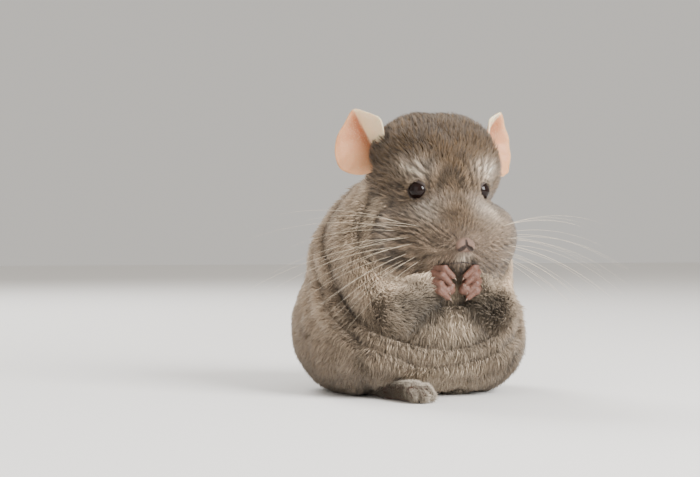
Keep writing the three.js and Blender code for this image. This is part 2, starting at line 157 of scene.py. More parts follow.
def mass(points, middle, halves, nod=0.0, swing=0.0):
    """An egg-shaped mass, nodded about the side axis and swung about the upright one, in degrees."""
    nod, swing = math.radians(nod), math.radians(swing)
    nodded = np.array(((1, 0, 0), (0, math.cos(nod), -math.sin(nod)), (0, math.sin(nod), math.cos(nod))))
    swung = np.array(
        ((math.cos(swing), -math.sin(swing), 0), (math.sin(swing), math.cos(swing), 0), (0, 0, 1))
    )
    own = (points - middle) @ (swung @ nodded) / halves
    share = np.linalg.norm(own, axis=1)
    steepness = np.linalg.norm(own / halves, axis=1)
    return share * (share - 1) / np.maximum(steepness, 1e-9)


def limb(points, start, end, start_radius, end_radius):
    """A straight limb with round ends that tapers from one radius to another."""
    run = end - start
    share = np.clip((points - start) @ run / (run @ run), 0, 1)
    return apart(points, start + share[:, None] * run) - mix(start_radius, end_radius, share)


def chain(points, spots, radii, roundness):
    """A bent limb through several spots."""
    ends = zip(spots[:-1], spots[1:], radii[:-1], radii[1:])
    return blended([limb(points, *each) for each in ends], roundness)


def blended(parts, roundness):
    """Several forms grown into one, with rounded hollows where they meet."""
    nearest = parts[0]
    for other in parts[1:]:
        overlap = np.maximum(roundness - np.abs(nearest - other), 0) / roundness
        nearest = np.minimum(nearest, other) - overlap * overlap * roundness / 4
    return nearest


def grown(points, masses, roundness):
    """Several egg-shaped masses grown into one."""
    return blended([mass(points, *each) for each in masses], roundness)


# The coat's outer surface, as the solids have it


def eye_look(side):
    """The direction in which an eye looks."""
    return unit(place(side * math.sin(EYE_TURN), math.cos(EYE_TURN), 0.14))


EYE_MIDDLES = {name: box_middle(f"eye_{name}") for name in BOTH_SIDES}


def from_eyes(points):
    """The distance to the middle of the nearer eye."""
    return np.minimum(*(apart(points, middle) for middle in EYE_MIDDLES.values()))


def head_coat(points):
    """The outside of the coat on the head."""
    masses = [
        (on_head(0, 30, SITTING_HEIGHT - 32), (SKULL_HALF - 1, 31.5, 32)),
        (on_head(0, 46, 105), (22.5, 21, 30)),
        (on_head(0, 57, 93), (15, 14, 14)),
        (on_head(0, NOSE_AHEAD - 19, NOSE_UP + 1), (15, 18.5, 13.5)),
        (on_head(0, NOSE_AHEAD - 21, 69), (12, 13, 7)),
    ]
    for side in SIDES:
        masses += [
            (on_head(side * 12, 30, SITTING_HEIGHT - 28), (22.5, 26, 26.5)),
            (on_head(side * 12.5, NOSE_AHEAD - 17, NOSE_UP), (14, 14, 12)),
            (on_head(side * (CHEEK_HALF - 19), 49, 83), (18, 22, 20)),
            (on_head(side * 15, 51, 120), (8.5, 7.5, 7)),
        ]
    bridge = np.hypot((points[:, 0] - HEAD_SIDE) / 6, (points[:, 2] - 96) / 12)
    return grown(points, masses, 8) + 1.6 * bump(from_eyes(points) - 3, 8) + 0.6 * bump(bridge, 1)


def haunch_edge(points):
    """The surface that parts the haunches from the rest of the body."""
    return np.minimum(*(mass(points, place(side * BODY_HALF, 3, 22), (42, 51, 39)) for side in SIDES))


FOLD_MIDDLE = place(0, 45, 85)
# Each fold's distance from there, with its depth and width
FOLDS = (
    (38.5, 2.2, 3.0),
    (46.5, 0.9, 2.2),
    (52.0, 1.0, 2.4),
    (57.5, 3.0, 3.5),
    (66.0, 2.6, 3.0),
    (74.0, 1.0, 2.8),
)


def folds(points):
    """How deep the coat sinks in its soft folds, in millimetres, and less than 0 where it swells.

    The main folds are rings about the cheeks: one round the neck, and bibs across chest and belly.
    """
    front = rise(-points[:, 1], -22, 22)
    reach = apart(points, FOLD_MIDDLE) + 1.2 * waves(points, 34, 8)
    depth = 1.8 * bump(haunch_edge(points), 4)
    depth += 1.6 * bump(points[:, 0] + 2, 3) * bump(points[:, 2] - 46, 14)
    for where, deep, width in FOLDS:
        swell = 0.45 * bump(reach - where - 2.1 * width, 1.3 * width)
        depth += deep * (bump(reach - where, width) - swell)
    return front * depth


def partings(points):
    """How far the hair parts at each spot, from 0 to 1, along short wandering lines."""
    lines = bump(waves(points, 22, 15), 0.07) * rise(waves(points, 30, 16), 0.1, 0.6)
    return lines + 0.7 * bump(waves(points, 13, 17), 0.05) * rise(waves(points, 24, 18), 0, 0.5)


def body_coat(points):
    """The outside of the coat on the body and haunches."""
    masses = [
        (place(0, -4, 43), (BODY_HALF - 4, DEPTH_HALF - 3, 45)),
        (place(-3, 6, 74), (BODY_HALF - 9, 50, 40), -14),
        (place(-1, 6, 92), (37, 42, 32), -18),
        (place(0, 32, 40), (43, 34, 36)),
    ]
    masses += [(place(side * (BODY_HALF - 29), 5, 29), (27, 52, 31), 2, side * -7) for side in SIDES]
    return grown(points, masses, 14) + folds(points)


def shoulder(side):
    return place(side * 32, 32, 70)


def elbow(side):
    return place(side * 27, 54, 47)


def wrist(side):
    return place(HANDS_SIDE + side * 11.5, 63.5, 56.5)


def foreleg_coat(points, side):
    """The outside of the sleeve of coat on a foreleg."""
    chest = shoulder(side) + place(side * -4, 8, 0)
    parts = [
        limb(points, shoulder(side), elbow(side), 14, 11),
        limb(points, elbow(side), wrist(side), 10.5, 5.4),
        limb(points, chest, wrist(side) + place(side * 3, -2, 3), 10, 5),
    ]
    return blended(parts, 7)


TAIL_SPOTS = np.array(
    [
        place(0, -50, 15),
        place(1, -70, 11.5),
        place(5, -90, 10),
        place(12, -110, 9),
        place(21, -128, 8.5),
        place(30, -141, 8),
    ]
)
TAIL_SKIN_RADII = (6.5, 5.0, 4.2, 3.6, 3.0, 2.2)
TAIL_RUNS = np.diff(TAIL_SPOTS, axis=0)
TAIL_PASSED = np.cumsum([0.0] + [float(np.linalg.norm(run)) for run in TAIL_RUNS])


def along_tail(points):
    """How far along the tail each spot lies, from 0 to 1, and the tail's direction there."""
    nearest = np.full(len(points), np.inf)
    passed = np.zeros(len(points))
    for i, run in enumerate(TAIL_RUNS):
        part = np.clip((points - TAIL_SPOTS[i]) @ run / (run @ run), 0, 1)
        gap = apart(points, TAIL_SPOTS[i] + part[:, None] * run)
        passed = np.where(gap < nearest, mix(TAIL_PASSED[i], TAIL_PASSED[i + 1], part), passed)
        nearest = np.minimum(gap, nearest)
    headings = np.gradient(TAIL_SPOTS, axis=0)
    heading = np.stack([np.interp(passed, TAIL_PASSED, headings[:, axis]) for axis in range(3)], 1)
    return passed / TAIL_PASSED[-1], unit(heading)


# Depth of the coat over the skin, and which part of the body a spot belongs to

BODY_DEPTH = 3.8
NOSE_TIP = on_head(0, NOSE_AHEAD, NOSE_UP)
MOUTH_SPOTS = {
    side: (
        on_head(0, LIP_AHEAD, MOUTH_UP),
        on_head(side * 6, LIP_AHEAD - 0.8, MOUTH_UP - 0.6),
        on_head(side * 12, LIP_AHEAD - 3, MOUTH_UP - 1.7),
    )
    for side in SIDES
}


def head_depth(points):
    depth = mix(0.7, 3.2, rise(apart(points, NOSE_TIP), 8, 62))
    return depth * (1 - 0.6 * bump(from_eyes(points) - EYE_RADIUS, 5))


def foreleg_depth(points, side):
    return mix(0.8, 2.8, rise(apart(points, wrist(side)), 2, 32))


def mouth_distance(points):
    """The distance from the line of the mouth."""
    return np.minimum(*(chain(points, spots, (0, 0, 0), 0.1) for spots in MOUTH_SPOTS.values()))


def skin_form(points):
    """The skin: the coat's outer surface sunk by the coat's depth, with sockets for the eyes."""
    parts = [
        head_coat(points) + head_depth(points),
        body_coat(points) + BODY_DEPTH,
        chain(points, TAIL_SPOTS, TAIL_SKIN_RADII, 2),
    ]
    parts += [foreleg_coat(points, side) + foreleg_depth(points, side) for side in SIDES]
    whole = np.maximum(blended(parts, 9), 0.5 - points[:, 2])
    whole = np.maximum(whole, 0.6 - mouth_distance(points))
    return np.maximum(whole, EYE_RADIUS + 0.15 - from_eyes(points))


def belongings(points):
    """Shares from 0 to 1: how far each spot belongs to the head, to the forelegs and to the tail."""
    head, body = head_coat(points), body_coat(points)
    arms = np.minimum(*(foreleg_coat(points, side) for side in SIDES))
    on_the_head = rise(np.minimum(body, arms) - head, -3, 3)
    on_the_arms = rise(np.minimum(body, head) - arms, -6, 5)
    on_the_tail = rise(body, 2, 8) * rise(along_tail(points)[0], 0.1, 0.25)
    return on_the_head, on_the_arms * (1 - on_the_head), on_the_tail


# Meshes

# Size of each surface's mesh cells, in millimetres
CELLS = {"skin": 1.0, "quick skin": 1.6, "eye": 0.5, "nose": 0.3, "hand": 0.45, "foot": 0.8}


def neighbours(grid, axis):
    """A grid without its last layer along an axis, and without its first."""
    count = grid.shape[axis]
    return np.take(grid, range(count - 1), axis), np.take(grid, range(1, count), axis)


def surface_of(form, low, high, step):
    """A closed mesh of four-sided faces where the form's distance is 0.

    A coarse grid finds where the surface runs, a fine one finds its cells, and each cell's corner is
    then drawn onto the surface.
    """
    coarse_step = 4 * step
    counts = [int(math.ceil((high[i] - low[i]) / coarse_step)) + 1 for i in range(3)]
    cells = np.stack(np.unravel_index(np.arange(math.prod(counts)), counts), 1)
    values = form(np.array(low) + cells * coarse_step).reshape(counts)
    for axis in range(3):
        values = values.repeat(4, axis=axis)
    shape = values.shape
    values = values.ravel()
    fine_low = np.array(low) - 1.5 * step
    near = np.flatnonzero(np.abs(values) < 2.2 * coarse_step)
    values[near] = form(fine_low + np.stack(np.unravel_index(near, shape), 1) * step)
    inside = values.reshape(shape) < 0
    held = inside.astype(np.int8)
    for axis in range(3):
        held = np.add(*neighbours(held, axis))
    cells = np.argwhere((held > 0) & (held < 8))
    number = np.full(held.shape, -1)
    number[tuple(cells.T)] = np.arange(len(cells))
    faces = []
    for axis, first, second in ((0, 1, 2), (1, 2, 0), (2, 0, 1)):
        lower, upper = neighbours(inside, axis)
        crossed = np.argwhere(lower != upper)
        square = crossed[:, (first, second)]
        within = (square > 0) & (square < np.array(held.shape)[[first, second]])
        crossed = crossed[within.all(axis=1)]
        back_first, back_second = np.eye(3, dtype=int)[[first, second]]
        around = (crossed - back_first - back_second, crossed - back_second, crossed, crossed - back_first)
        quads = np.stack([number[tuple(cell.T)] for cell in around], 1)
        faces.append(np.where(lower[tuple(crossed.T)][:, None], quads, quads[:, ::-1]))
    faces = np.concatenate(faces)
    points = fine_low + (cells + 0.5) * step
    for _ in range(3):
        points = drawn_to(form, evened(points, faces), step)
    return points, faces


def evened(points, faces):
    """Points moved half way to the mean of their neighbours."""
    total = np.zeros_like(points)
    count = np.zeros(len(points))
    for i in range(faces.shape[1]):
        start, end = faces[:, i], faces[:, (i + 1) % faces.shape[1]]
        for axis in range(3):
            total[:, axis] += np.bincount(start, points[end, axis], len(points))
            total[:, axis] += np.bincount(end, points[start, axis], len(points))
        count += np.bincount(start, minlength=len(points))
        count += np.bincount(end, minlength=len(points))
    return mix(points, total / np.maximum(count, 1)[:, None], 0.5)


def drawn_to(form, points, step, reach=0.25):
    """Points moved onto the form's surface along its slope, by at most one step."""
    steepness = np.empty_like(points)
    for axis, shift in enumerate(np.eye(3) * reach):
        steepness[:, axis] = (form(points + shift) - form(points - shift)) / (2 * reach)
    square = np.maximum((steepness**2).sum(1), 0.1)
    move = np.clip(form(points) / np.sqrt(square), -step, step)
    return points - unit(steepness) * move[:, None]


def mesh_of(name, points, faces):
    """A smooth mesh from arrays of spots in millimetres and faces with equally many corners."""
    mesh = bpy.data.meshes.new(name)
    mesh.vertices.add(len(points))
    mesh.vertices.foreach_set("co", (points * MM).astype(np.float32).ravel())
    mesh.loops.add(faces.size)
    mesh.loops.foreach_set("vertex_index", faces.astype(np.int32).ravel())
    mesh.polygons.add(len(faces))
    mesh.polygons.foreach_set("loop_start", np.arange(0, faces.size, faces.shape[1], dtype=np.int32))
    mesh.polygons.foreach_set("use_smooth", np.full(len(faces), True))
    mesh.update(calc_edges=True)
    return mesh


def add_piece(name, mesh, material, replaces=()):
    """Puts a mesh in the scene as a piece of the animal."""
    piece = bpy.data.objects.new(name, mesh)
    bpy.context.scene.collection.objects.link(piece)
    mesh.materials.append(material)
    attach(piece, BODY)
    if replaces:
        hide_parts(*replaces)
    return piece


def add_shape(name, shape, material, replaces=(), colours=None):
    """Makes a piece from a pair of points and faces, painted where it has colours."""
    mesh = mesh_of(name, *shape)
    if colours is not None:
        paint(mesh, colours)
    return add_piece(name, mesh, material, replaces)


def unwrap(piece):
    """Unwraps a piece's own shape, for its colours to be baked on."""
    view = bpy.context.view_layer
    view.objects.active = piece
    piece.select_set(True)
    bpy.ops.object.mode_set(mode="EDIT")
    bpy.ops.mesh.select_all(action="SELECT")
    bpy.ops.uv.smart_project(angle_limit=math.radians(75), island_margin=0.002)
    bpy.ops.object.mode_set(mode="OBJECT")
    piece.select_set(False)
    piece.data.uv_layers[0].name = "OFBake"


def paint(mesh, colours):
    """Stores one colour for each corner point of the mesh."""
    attribute = mesh.color_attributes.new("coat_colour", "FLOAT_COLOR", "POINT")
    filled = np.ones((len(colours), 4), np.float32)
    filled[:, :3] = colours
    attribute.data.foreach_set("color", filled.ravel())


def joined(parts):
    """Several (points, faces) pairs as one."""
    points, faces, start = [], [], 0
    for some_points, some_faces in parts:
        points.append(some_points)
        faces.append(some_faces + start)
        start += len(some_points)
    return np.concatenate(points), np.concatenate(faces)


def ring_quads(rings, sides, closed=False):
    """The four-sided faces between rings of equally many corners."""
    i, j = np.divmod(np.arange((rings if closed else rings - 1) * sides), sides)
    ring, next_ring = i * sides, (i + 1) % rings * sides
    beside = (j + 1) % sides
    return np.stack((ring + j, next_ring + j, next_ring + beside, ring + beside), 1)


def tube(path, radii, sides=8, flat=1.0, closed=False, reference=(0.0, 0.0, 1.0)):
    """A tapering tube along a path, its ends closed. Flat scales it along the reference."""
    if closed:
        heading = unit(np.roll(path, -1, 0) - np.roll(path, 1, 0))
    else:
        heading = unit(np.gradient(path, axis=0))
    across = unit(np.cross(heading, reference))
    upward = np.cross(across, heading)
    turn = np.linspace(0, 2 * math.pi, sides, endpoint=False)[None, :, None]
    ring = across[:, None] * np.cos(turn) + upward[:, None] * np.sin(turn) * flat
    points = (path[:, None] + ring * radii[:, None, None]).reshape(-1, 3)
    quads = ring_quads(len(path), sides, closed)
    faces = [quads[:, (0, 2, 3)], quads[:, (0, 1, 2)]]
    if not closed:
        count = len(points)
        points = np.concatenate((points, path[:1], path[-1:]))
        j = np.arange(sides)
        beside = (j + 1) % sides
        last = count - sides
        faces.append(np.stack((np.full(sides, count), j, beside), 1))
        faces.append(np.stack((np.full(sides, count + 1), last + beside, last + j), 1))
    return points, np.concatenate(faces)


def curve_through(spots, count):
    """Evenly counted spots on a smooth curve through the given ones."""
    spots = np.asarray(spots, float)
    ends = np.concatenate(((2 * spots[0] - spots[1])[None], spots, (2 * spots[-1] - spots[-2])[None]))
    share = np.linspace(0, len(spots) - 1 - 1e-6, count)
    piece = share.astype(int)
    part = (share - piece)[:, None]
    before, start, end, after = (ends[piece + i] for i in range(4))
    return 0.5 * (
        2 * start
        + (end - before) * part
        + (2 * before - 5 * start + 4 * end - after) * part**2
        + (3 * start - before - 3 * end + after) * part**3
    )


# Materials


def new_material(name, roughness, colour=None, **sockets):
    """A material with a plain shader, its colour and its other sockets set by name."""
    material = bpy.data.materials.new(name)
    material.use_nodes = True
    inputs = material.node_tree.nodes["Principled BSDF"].inputs
    inputs["Roughness"].default_value = roughness
    if colour is not None:
        inputs["Base Color"].default_value = (*colour, 1)
    for socket, value in sockets.items():
        inputs[socket.replace("_", " ")].default_value = value
    return material


def feed_shader(material, source, socket):
    """Links a node's output to a socket of the material's shader."""
    shader = material.node_tree.nodes["Principled BSDF"]
    material.node_tree.links.new(source, shader.inputs[socket])


def add_node(material, kind, **settings):
    node = material.node_tree.nodes.new(kind)
    for name, value in settings.items():
        setattr(node, name, value)
    return node


def add_noise(material, per_metre, detail=3.0):
    """Soft noise fixed to the piece, with its features counted over a metre."""
    where = add_node(material, "ShaderNodeTexCoord")
    noise = add_node(material, "ShaderNodeTexNoise")
    noise.inputs["Scale"].default_value = per_metre
    noise.inputs["Detail"].default_value = detail
    material.node_tree.links.new(where.outputs["Object"], noise.inputs["Vector"])
    return noise


def add_bump(material, source, depth):
    """Fine relief from a pattern, its depth in metres."""
    relief = add_node(material, "ShaderNodeBump")
    relief.inputs["Distance"].default_value = depth
    material.node_tree.links.new(source, relief.inputs["Height"])
    feed_shader(material, relief.outputs["Normal"], "Normal")


def add_paint(material):
    """Takes the base colour from the paint that is stored on the mesh."""
    painted = add_node(material, "ShaderNodeVertexColor", layer_name="coat_colour")
    feed_shader(material, painted.outputs["Color"], "Base Color")


def coat_material(name, roughness=0.85):
    """Fur whose colour is stored on the mesh, with a soft sheen."""
    material = new_material(
        name, roughness, Sheen_Weight=0.1, Sheen_Roughness=0.5, Specular_IOR_Level=0.15
    )
    add_paint(material)
    return material


def bare_material(name, glow, glow_reach, glow_radii):
    """Bare skin that light shines into."""
    return new_material(
        name, 0.5, Subsurface_Weight=glow, Subsurface_Scale=glow_reach, Subsurface_Radius=glow_radii
    )


# Settings

USUAL_DENSITY = 310  # Fine tufts on a square centimetre


def colour_setting(name, what, default):
    """The colour of what the name stands for."""
    return bpy.props.FloatVectorProperty(
        name=name,
        description=f"Colour of the {what}",
        subtype="COLOR",
        size=3,
        min=0,
        max=1,
        default=default,
    )


def length_setting(name, description, default):
    return bpy.props.FloatProperty(
        name=name, description=description, default=default, min=0, unit="LENGTH"
    )


class CoatSettings(bpy.types.PropertyGroup):
    body_length: length_setting("Body Hair", "Length of the hair on the body", 0.005)
    crown_length: length_setting("Crown Hair", "Length of the hair on the crown", 0.0056)
    face_length: length_setting("Face Hair", "Length of the hair by the nose", 0.0022)
    tuft_width: length_setting("Tuft Width", "Width of a tuft at its root", 0.00062)
    density: bpy.props.FloatProperty(
        name="Density",
        description="Fine tufts on each square centimetre of the body",
        default=USUAL_DENSITY,
        min=1,
    )
    body_colour: colour_setting("Body", "flanks and back", (0.45, 0.34, 0.24))
    belly_colour: colour_setting("Belly", "belly and chest", (0.44, 0.35, 0.255))
    crown_colour: colour_setting("Crown", "crown", (0.105, 0.066, 0.034))
    cheek_colour: colour_setting("Cheeks", "cheeks", (0.195, 0.144, 0.1))
    muzzle_colour: colour_setting("Muzzle", "muzzle", (0.15, 0.107, 0.076))
    brow_colour: colour_setting("Brow", "pale patch over each eye", (0.52, 0.43, 0.34))
    # Painted shade at the roots of the hair, deep in the coat
    root_shade: bpy.props.FloatProperty(
        name="Painted Root Shade",
        description="Lightness of the hair at its roots, as a share of its own colour",
        default=0.76,
        min=0,
        max=1,
    )


class FaceSettings(bpy.types.PropertyGroup):
    eye_colour: colour_setting("Eyes", "eyes", (0.009, 0.004, 0.003))
    lid_colour: colour_setting("Lids", "edges of the lids", (0.03, 0.018, 0.013))
    lid_thickness: length_setting("Lids", "Thickness of the edges of the lids", 0.0008)
    nose_colour: colour_setting("Nose", "nose pad", (0.16, 0.10, 0.074))


class EarSettings(bpy.types.PropertyGroup):
    thickness: length_setting("Thickness", "Thickness of the ear's edge", 0.0009)
    colour: colour_setting("Skin", "ear's skin", (0.58, 0.30, 0.15))
    deep_colour: colour_setting("Deep Skin", "skin beside the ear's fold", (0.35, 0.15, 0.062))
    flap_colour: colour_setting("Flap", "front flap of the ear", (0.76, 0.59, 0.39))
    fuzz_length: length_setting("Fuzz", "Length of the down on the ear", 0.0016)


class PawSettings(bpy.types.PropertyGroup):
    skin_colour: colour_setting("Skin", "hands and toes", (0.15, 0.068, 0.045))
    fur_colour: colour_setting("Fur", "fur on the feet", (0.34, 0.29, 0.23))
    claw_colour: colour_setting("Claws", "claws", (0.17, 0.115, 0.085))
    claw_length: length_setting("Claws", "Length of a claw", 0.0022)


class WhiskerSettings(bpy.types.PropertyGroup):
    length: length_setting("Length", "Length of the longest whiskers", 0.116)
    thickness: length_setting("Thickness", "Thickness at the root", 0.00018)
    colour: colour_setting("Colour", "whiskers", (0.60, 0.50, 0.37))


class TailSettings(bpy.types.PropertyGroup):
    lock_length: length_setting("Locks", "Length of the tail's hair", 0.026)
    colour: colour_setting("Colour", "tail's hair", (0.19, 0.13, 0.088))
    tip_colour: colour_setting("Tips", "tips of the tail's hair", (0.46, 0.38, 0.30))


class StageSettings(bpy.types.PropertyGroup):
    floor_colour: colour_setting("Floor", "floor and the backdrop", (0.88, 0.86, 0.83))
    key_power: bpy.props.FloatProperty(
        name="Key Light", description="Power of the main light", default=46, unit="POWER"
    )
    lens: bpy.props.FloatProperty(
        name="Lens", description="Focal length of the camera", default=79.46, unit="CAMERA"
    )


SETTINGS = {
    "chinchilla_coat": CoatSettings,
    "chinchilla_face": FaceSettings,
    "chinchilla_ears": EarSettings,
    "chinchilla_paws": PawSettings,
    "chinchilla_whiskers": WhiskerSettings,
    "chinchilla_tail": TailSettings,
    "chinchilla_stage": StageSettings,
}


# Colours and the lie of the coat


def dimmed(colour, share):
    """Colours darkened row by row, or lightened where the share is less than 0."""
    return colour * (1 - share)[:, None]


def markings_and_painted_light(points, coat):
    """The coat's colour at each spot: its markings, with painted shade and painted highlights laid over
    them.
    """
    on_the_head, on_the_arms, _ = belongings(points)
    off_the_head = 1 - on_the_head
    side = points[:, 0] - HEAD_SIDE
    by_hands = points[:, 0] - HANDS_SIDE
    ahead, up = -points[:, 1], points[:, 2]
    body = mix_rows(coat.body_colour, coat.belly_colour, rise(ahead, 5, 45) * bump(points[:, 0], 48))
    body = dimmed(body, 0.4 * bump(points[:, 0], 40) * rise(-ahead, -30, 25) * rise(up, 15, 60))
    forelock = bump(side, 12) * rise(up, 79, 88) * (1 - 0.85 * rise(up, 94, 104))
    crown = np.clip(rise(up, 92, 128) + 0.8 * forelock, 0, 1)
    face = mix_rows(coat.cheek_colour, coat.crown_colour, crown)
    muzzle = np.clip(bump(apart(points, NOSE_TIP), 17) * (1 - 0.7 * rise(up, 82, 92)), 0, 1)
    face = mix_rows(face, coat.muzzle_colour, muzzle)
    cheek_side = np.abs(side) - 15
    cheek_flash = bump(cheek_side, 7) * bump(up - 97 + 0.35 * cheek_side, 5)
    face = mix_rows(face, coat.brow_colour, 0.7 * cheek_flash)
    pale = 0.8 * bump(apart(points, on_head(0, LIP_AHEAD, MOUTH_UP + 3)), 3.4)
    for name, direction in BOTH_SIDES.items():
        off = (points - EYE_MIDDLES[name] - place(direction, 0, 9)) / (8, 14, 4.6)
        pale = np.maximum(pale, 0.85 * bump(np.linalg.norm(off, axis=1), 1))
    face = mix_rows(face, coat.brow_colour, pale)
    colour = mix_rows(body, mix_rows(body * 0.8, face, rise(ahead, -8, 34)), on_the_head)
    # Darker fur on the lower forearms, and painted shade under and between them, only below wrist height.
    forearms = ((mix(elbow(side), wrist(side), 0.45), wrist(side)) for side in SIDES)
    from_forearm = np.minimum(*(limb(points, start, end, 0, 0) for start, end in forearms))
    colour = dimmed(colour, 0.8 * (1 - rise(from_forearm, 7, 20)) * (1 - rise(up, 50, 63)) * off_the_head)
    # Painted shade low on the body, fading upwards and towards the middle line.
    painted_low_shade = (1 - rise(up, 6, 66)) * (1 - 0.85 * bump(points[:, 0], 30)) * off_the_head
    colour = dimmed(colour, 0.6 * painted_low_shade)
    # Paler fur in the chest tuft, and painted highlights on the rolls of fur either side of the hands, under
    # the cheeks and over the forearms.
    under_cheek = bump(head_coat(points) - 5, 6) * rise(ahead, 25, 50) * (1 - rise(up, 62, 80))
    tuft = bump(points[:, 0] - 1, 7) * bump(up - 47, 11) * rise(ahead, 30, 50)
    roll = bump(up - 64, 8) * rise(ahead, 35, 50) * rise(np.abs(by_hands), 11, 19)
    pale_fur_and_highlights = (under_cheek * (1 - bump(by_hands, 16)), 0.6 * tuft, 0.45 * roll)
    colour = dimmed(colour, -0.5 * np.maximum.reduce(pale_fur_and_highlights) * off_the_head)
    # Painted shade in the hollows of the folds, and painted light where the coat swells beside them.
    colour = dimmed(colour, 0.42 * np.clip(folds(points) / 2.2, -0.6, 1) * off_the_head)
    parted = np.clip(partings(points), 0, 1) * off_the_head * (1 - on_the_arms)
    colour = dimmed(colour, 0.3 * parted)
    return dimmed(colour, -0.06 * waves(points, 17, 3) - 0.05 * waves(points, 7, 4))


def along_skin(way, normals):
    """Directions laid flat along the skin."""
    return unit(way - normals * (way * normals).sum(1)[:, None])


def lie_of_coat(points, normals):
    """The direction along the skin in which the hair lies."""
    on_the_head, on_the_arms, on_the_tail = belongings(points)
    head_way = unit(points - NOSE_TIP)
    for middle in EYE_MIDDLES.values():
        near = bump(apart(points, middle), EYE_RADIUS + 3.5)
        head_way += unit(points - middle) * (1.3 * near)[:, None]
    body_way = unit(points - on_head(0, 40, 104)) + place(0, -0.35, -0.45)
    body_way[:, 0] *= 0.8
    arm_way = np.zeros_like(points)
    for side in SIDES:
        bend, end = elbow(side), wrist(side)
        past_elbow = limb(points, shoulder(side), bend, 0, 0) - limb(points, bend, end, 0, 0)
        way = mix_rows(unit(bend - shoulder(side)), unit(end - bend), rise(past_elbow, -8, 8))
        mine = points[:, 0] * side > HANDS_SIDE * side
        arm_way[mine] = way[mine]
    way = mix_rows(body_way, head_way, on_the_head)
    way = mix_rows(way, arm_way, on_the_arms)
    way = mix_rows(way, along_tail(points)[1], on_the_tail)
    return along_skin(way, normals)


def streaks(points, way, size, reach, seed):
    """Random light and dark from -1 to 1, drawn out along the lie of the hair."""
    steps = np.linspace(-reach, reach, 7)
    return sum(waves(points + way * step, size, seed) for step in steps) / 3.5


def turned_about(vectors, axes, angles):
    """Vectors turned about unit axes that stand square to them."""
    return vectors * np.cos(angles)[:, None] + np.cross(axes, vectors) * np.sin(angles)[:, None]


# Tufts

PATCH = 0.003
# Starting numbers of the random draws
SEEDS = {"plush": 11, "fine": 12, "tail": 21, "whiskers": 31, "feet": 41, "ears": 43}


def read_rows(items, attribute, width, kind=np.float32):
    """One attribute of every item of a mesh, in rows of equal width."""
    values = np.empty(len(items) * width, kind)
    items.foreach_get(attribute, values)
    return values.reshape(-1, width)


def skin_faces(skin):
    """A piece's triangles: corner places, corner normals and corner spots on its unwrap."""
    mesh = skin.data
    points = read_rows(mesh.vertices, "co", 3).astype(float) / MM
    normals = read_rows(mesh.vertices, "normal", 3).astype(float)
    corners = read_rows(mesh.loops, "vertex_index", 1, np.int32).reshape(-1, 4)
    unwrapped = read_rows(mesh.uv_layers["OFBake"].data, "uv", 2).reshape(-1, 4, 2)
    halves = ((0, 1, 2), (0, 2, 3))
    faces = np.concatenate([corners[:, half] for half in halves])
    spots = np.concatenate([unwrapped[:, half] for half in halves])
    return points[faces], normals[faces], spots


def sow(triangles, normals, spots, per_mm2, draw):
    """Random roots on triangles: places, normals and unwrap spots, so many a square millimetre."""
    sides = triangles[:, 1:] - triangles[:, :1]
    area = np.linalg.norm(np.cross(sides[:, 0], sides[:, 1]), axis=1) / 2
    count = np.floor(area * per_mm2 + draw.random(len(area))).astype(int)
    chosen = np.repeat(np.arange(len(area)), count)
    first, second = draw.random((2, len(chosen)))
    over = first + second > 1
    first[over], second[over] = 1 - first[over], 1 - second[over]
    share = np.stack((1 - first - second, first, second), 1)[:, :, None]
    roots = (triangles[chosen] * share).sum(1)
    return roots, unit((normals[chosen] * share).sum(1)), (spots[chosen] * share).sum(1)


def gathered(roots, roots_each, draw):
    """The number of the clump that each root belongs to, and the roots at the clumps' middles."""
    middles = draw.choice(len(roots), int(len(roots) * (1 / roots_each)), replace=False)
    tree = KDTree(len(middles))
    for i, middle in enumerate(middles):
        tree.insert(roots[middle], i)
    tree.balance()
    return np.array([tree.find(root)[1] for root in roots]), middles


def tufts(roots, normals, way, length, lift, width, bent, draw):
    """Tapered tufts that rise from their roots and lie over along the coat.

    Bent tufts have a ring of corners half way, and the others run straight from root to tip. Each is
    a closed body with a flat underside and a ridge along its back.
    """
    upwards = normals * (length * lift)[:, None]
    along = way * (length * np.sqrt(1 - lift**2))[:, None]
    tip = roots + upwards + along
    base = roots - normals * 0.5
    middle = roots + upwards * 0.66 + along * 0.42
    heading = unit((middle if bent else tip) - base)
    across = unit(np.cross(heading, normals))
    back = np.cross(across, heading)
    roll = draw.uniform(-0.7, 0.7, len(roots))
    across, back = turned_about(across, heading, roll), turned_about(back, heading, roll)
    width = np.broadcast_to(width, len(roots))[:, None]
    rings = [(base, 0.8), (middle, 1.0)] if bent else [(base, 1.0)]
    points = [
        where + across * width * size * sideways + back * width * size * upward
        for where, size in rings
        for sideways, upward in ((-0.5, 0.0), (0.0, 0.32), (0.5, 0.0))
    ]
    top = len(points) - 3
    faces = [(0, 1, 2)]
    for i in range(3):
        beside = (i + 1) % 3
        if bent:
            faces += [(i, beside + 3, beside), (i, i + 3, beside + 3)]
        faces.append((top + i, top + 3, top + beside))
    return np.stack(points + [tip], 1), np.array(faces)


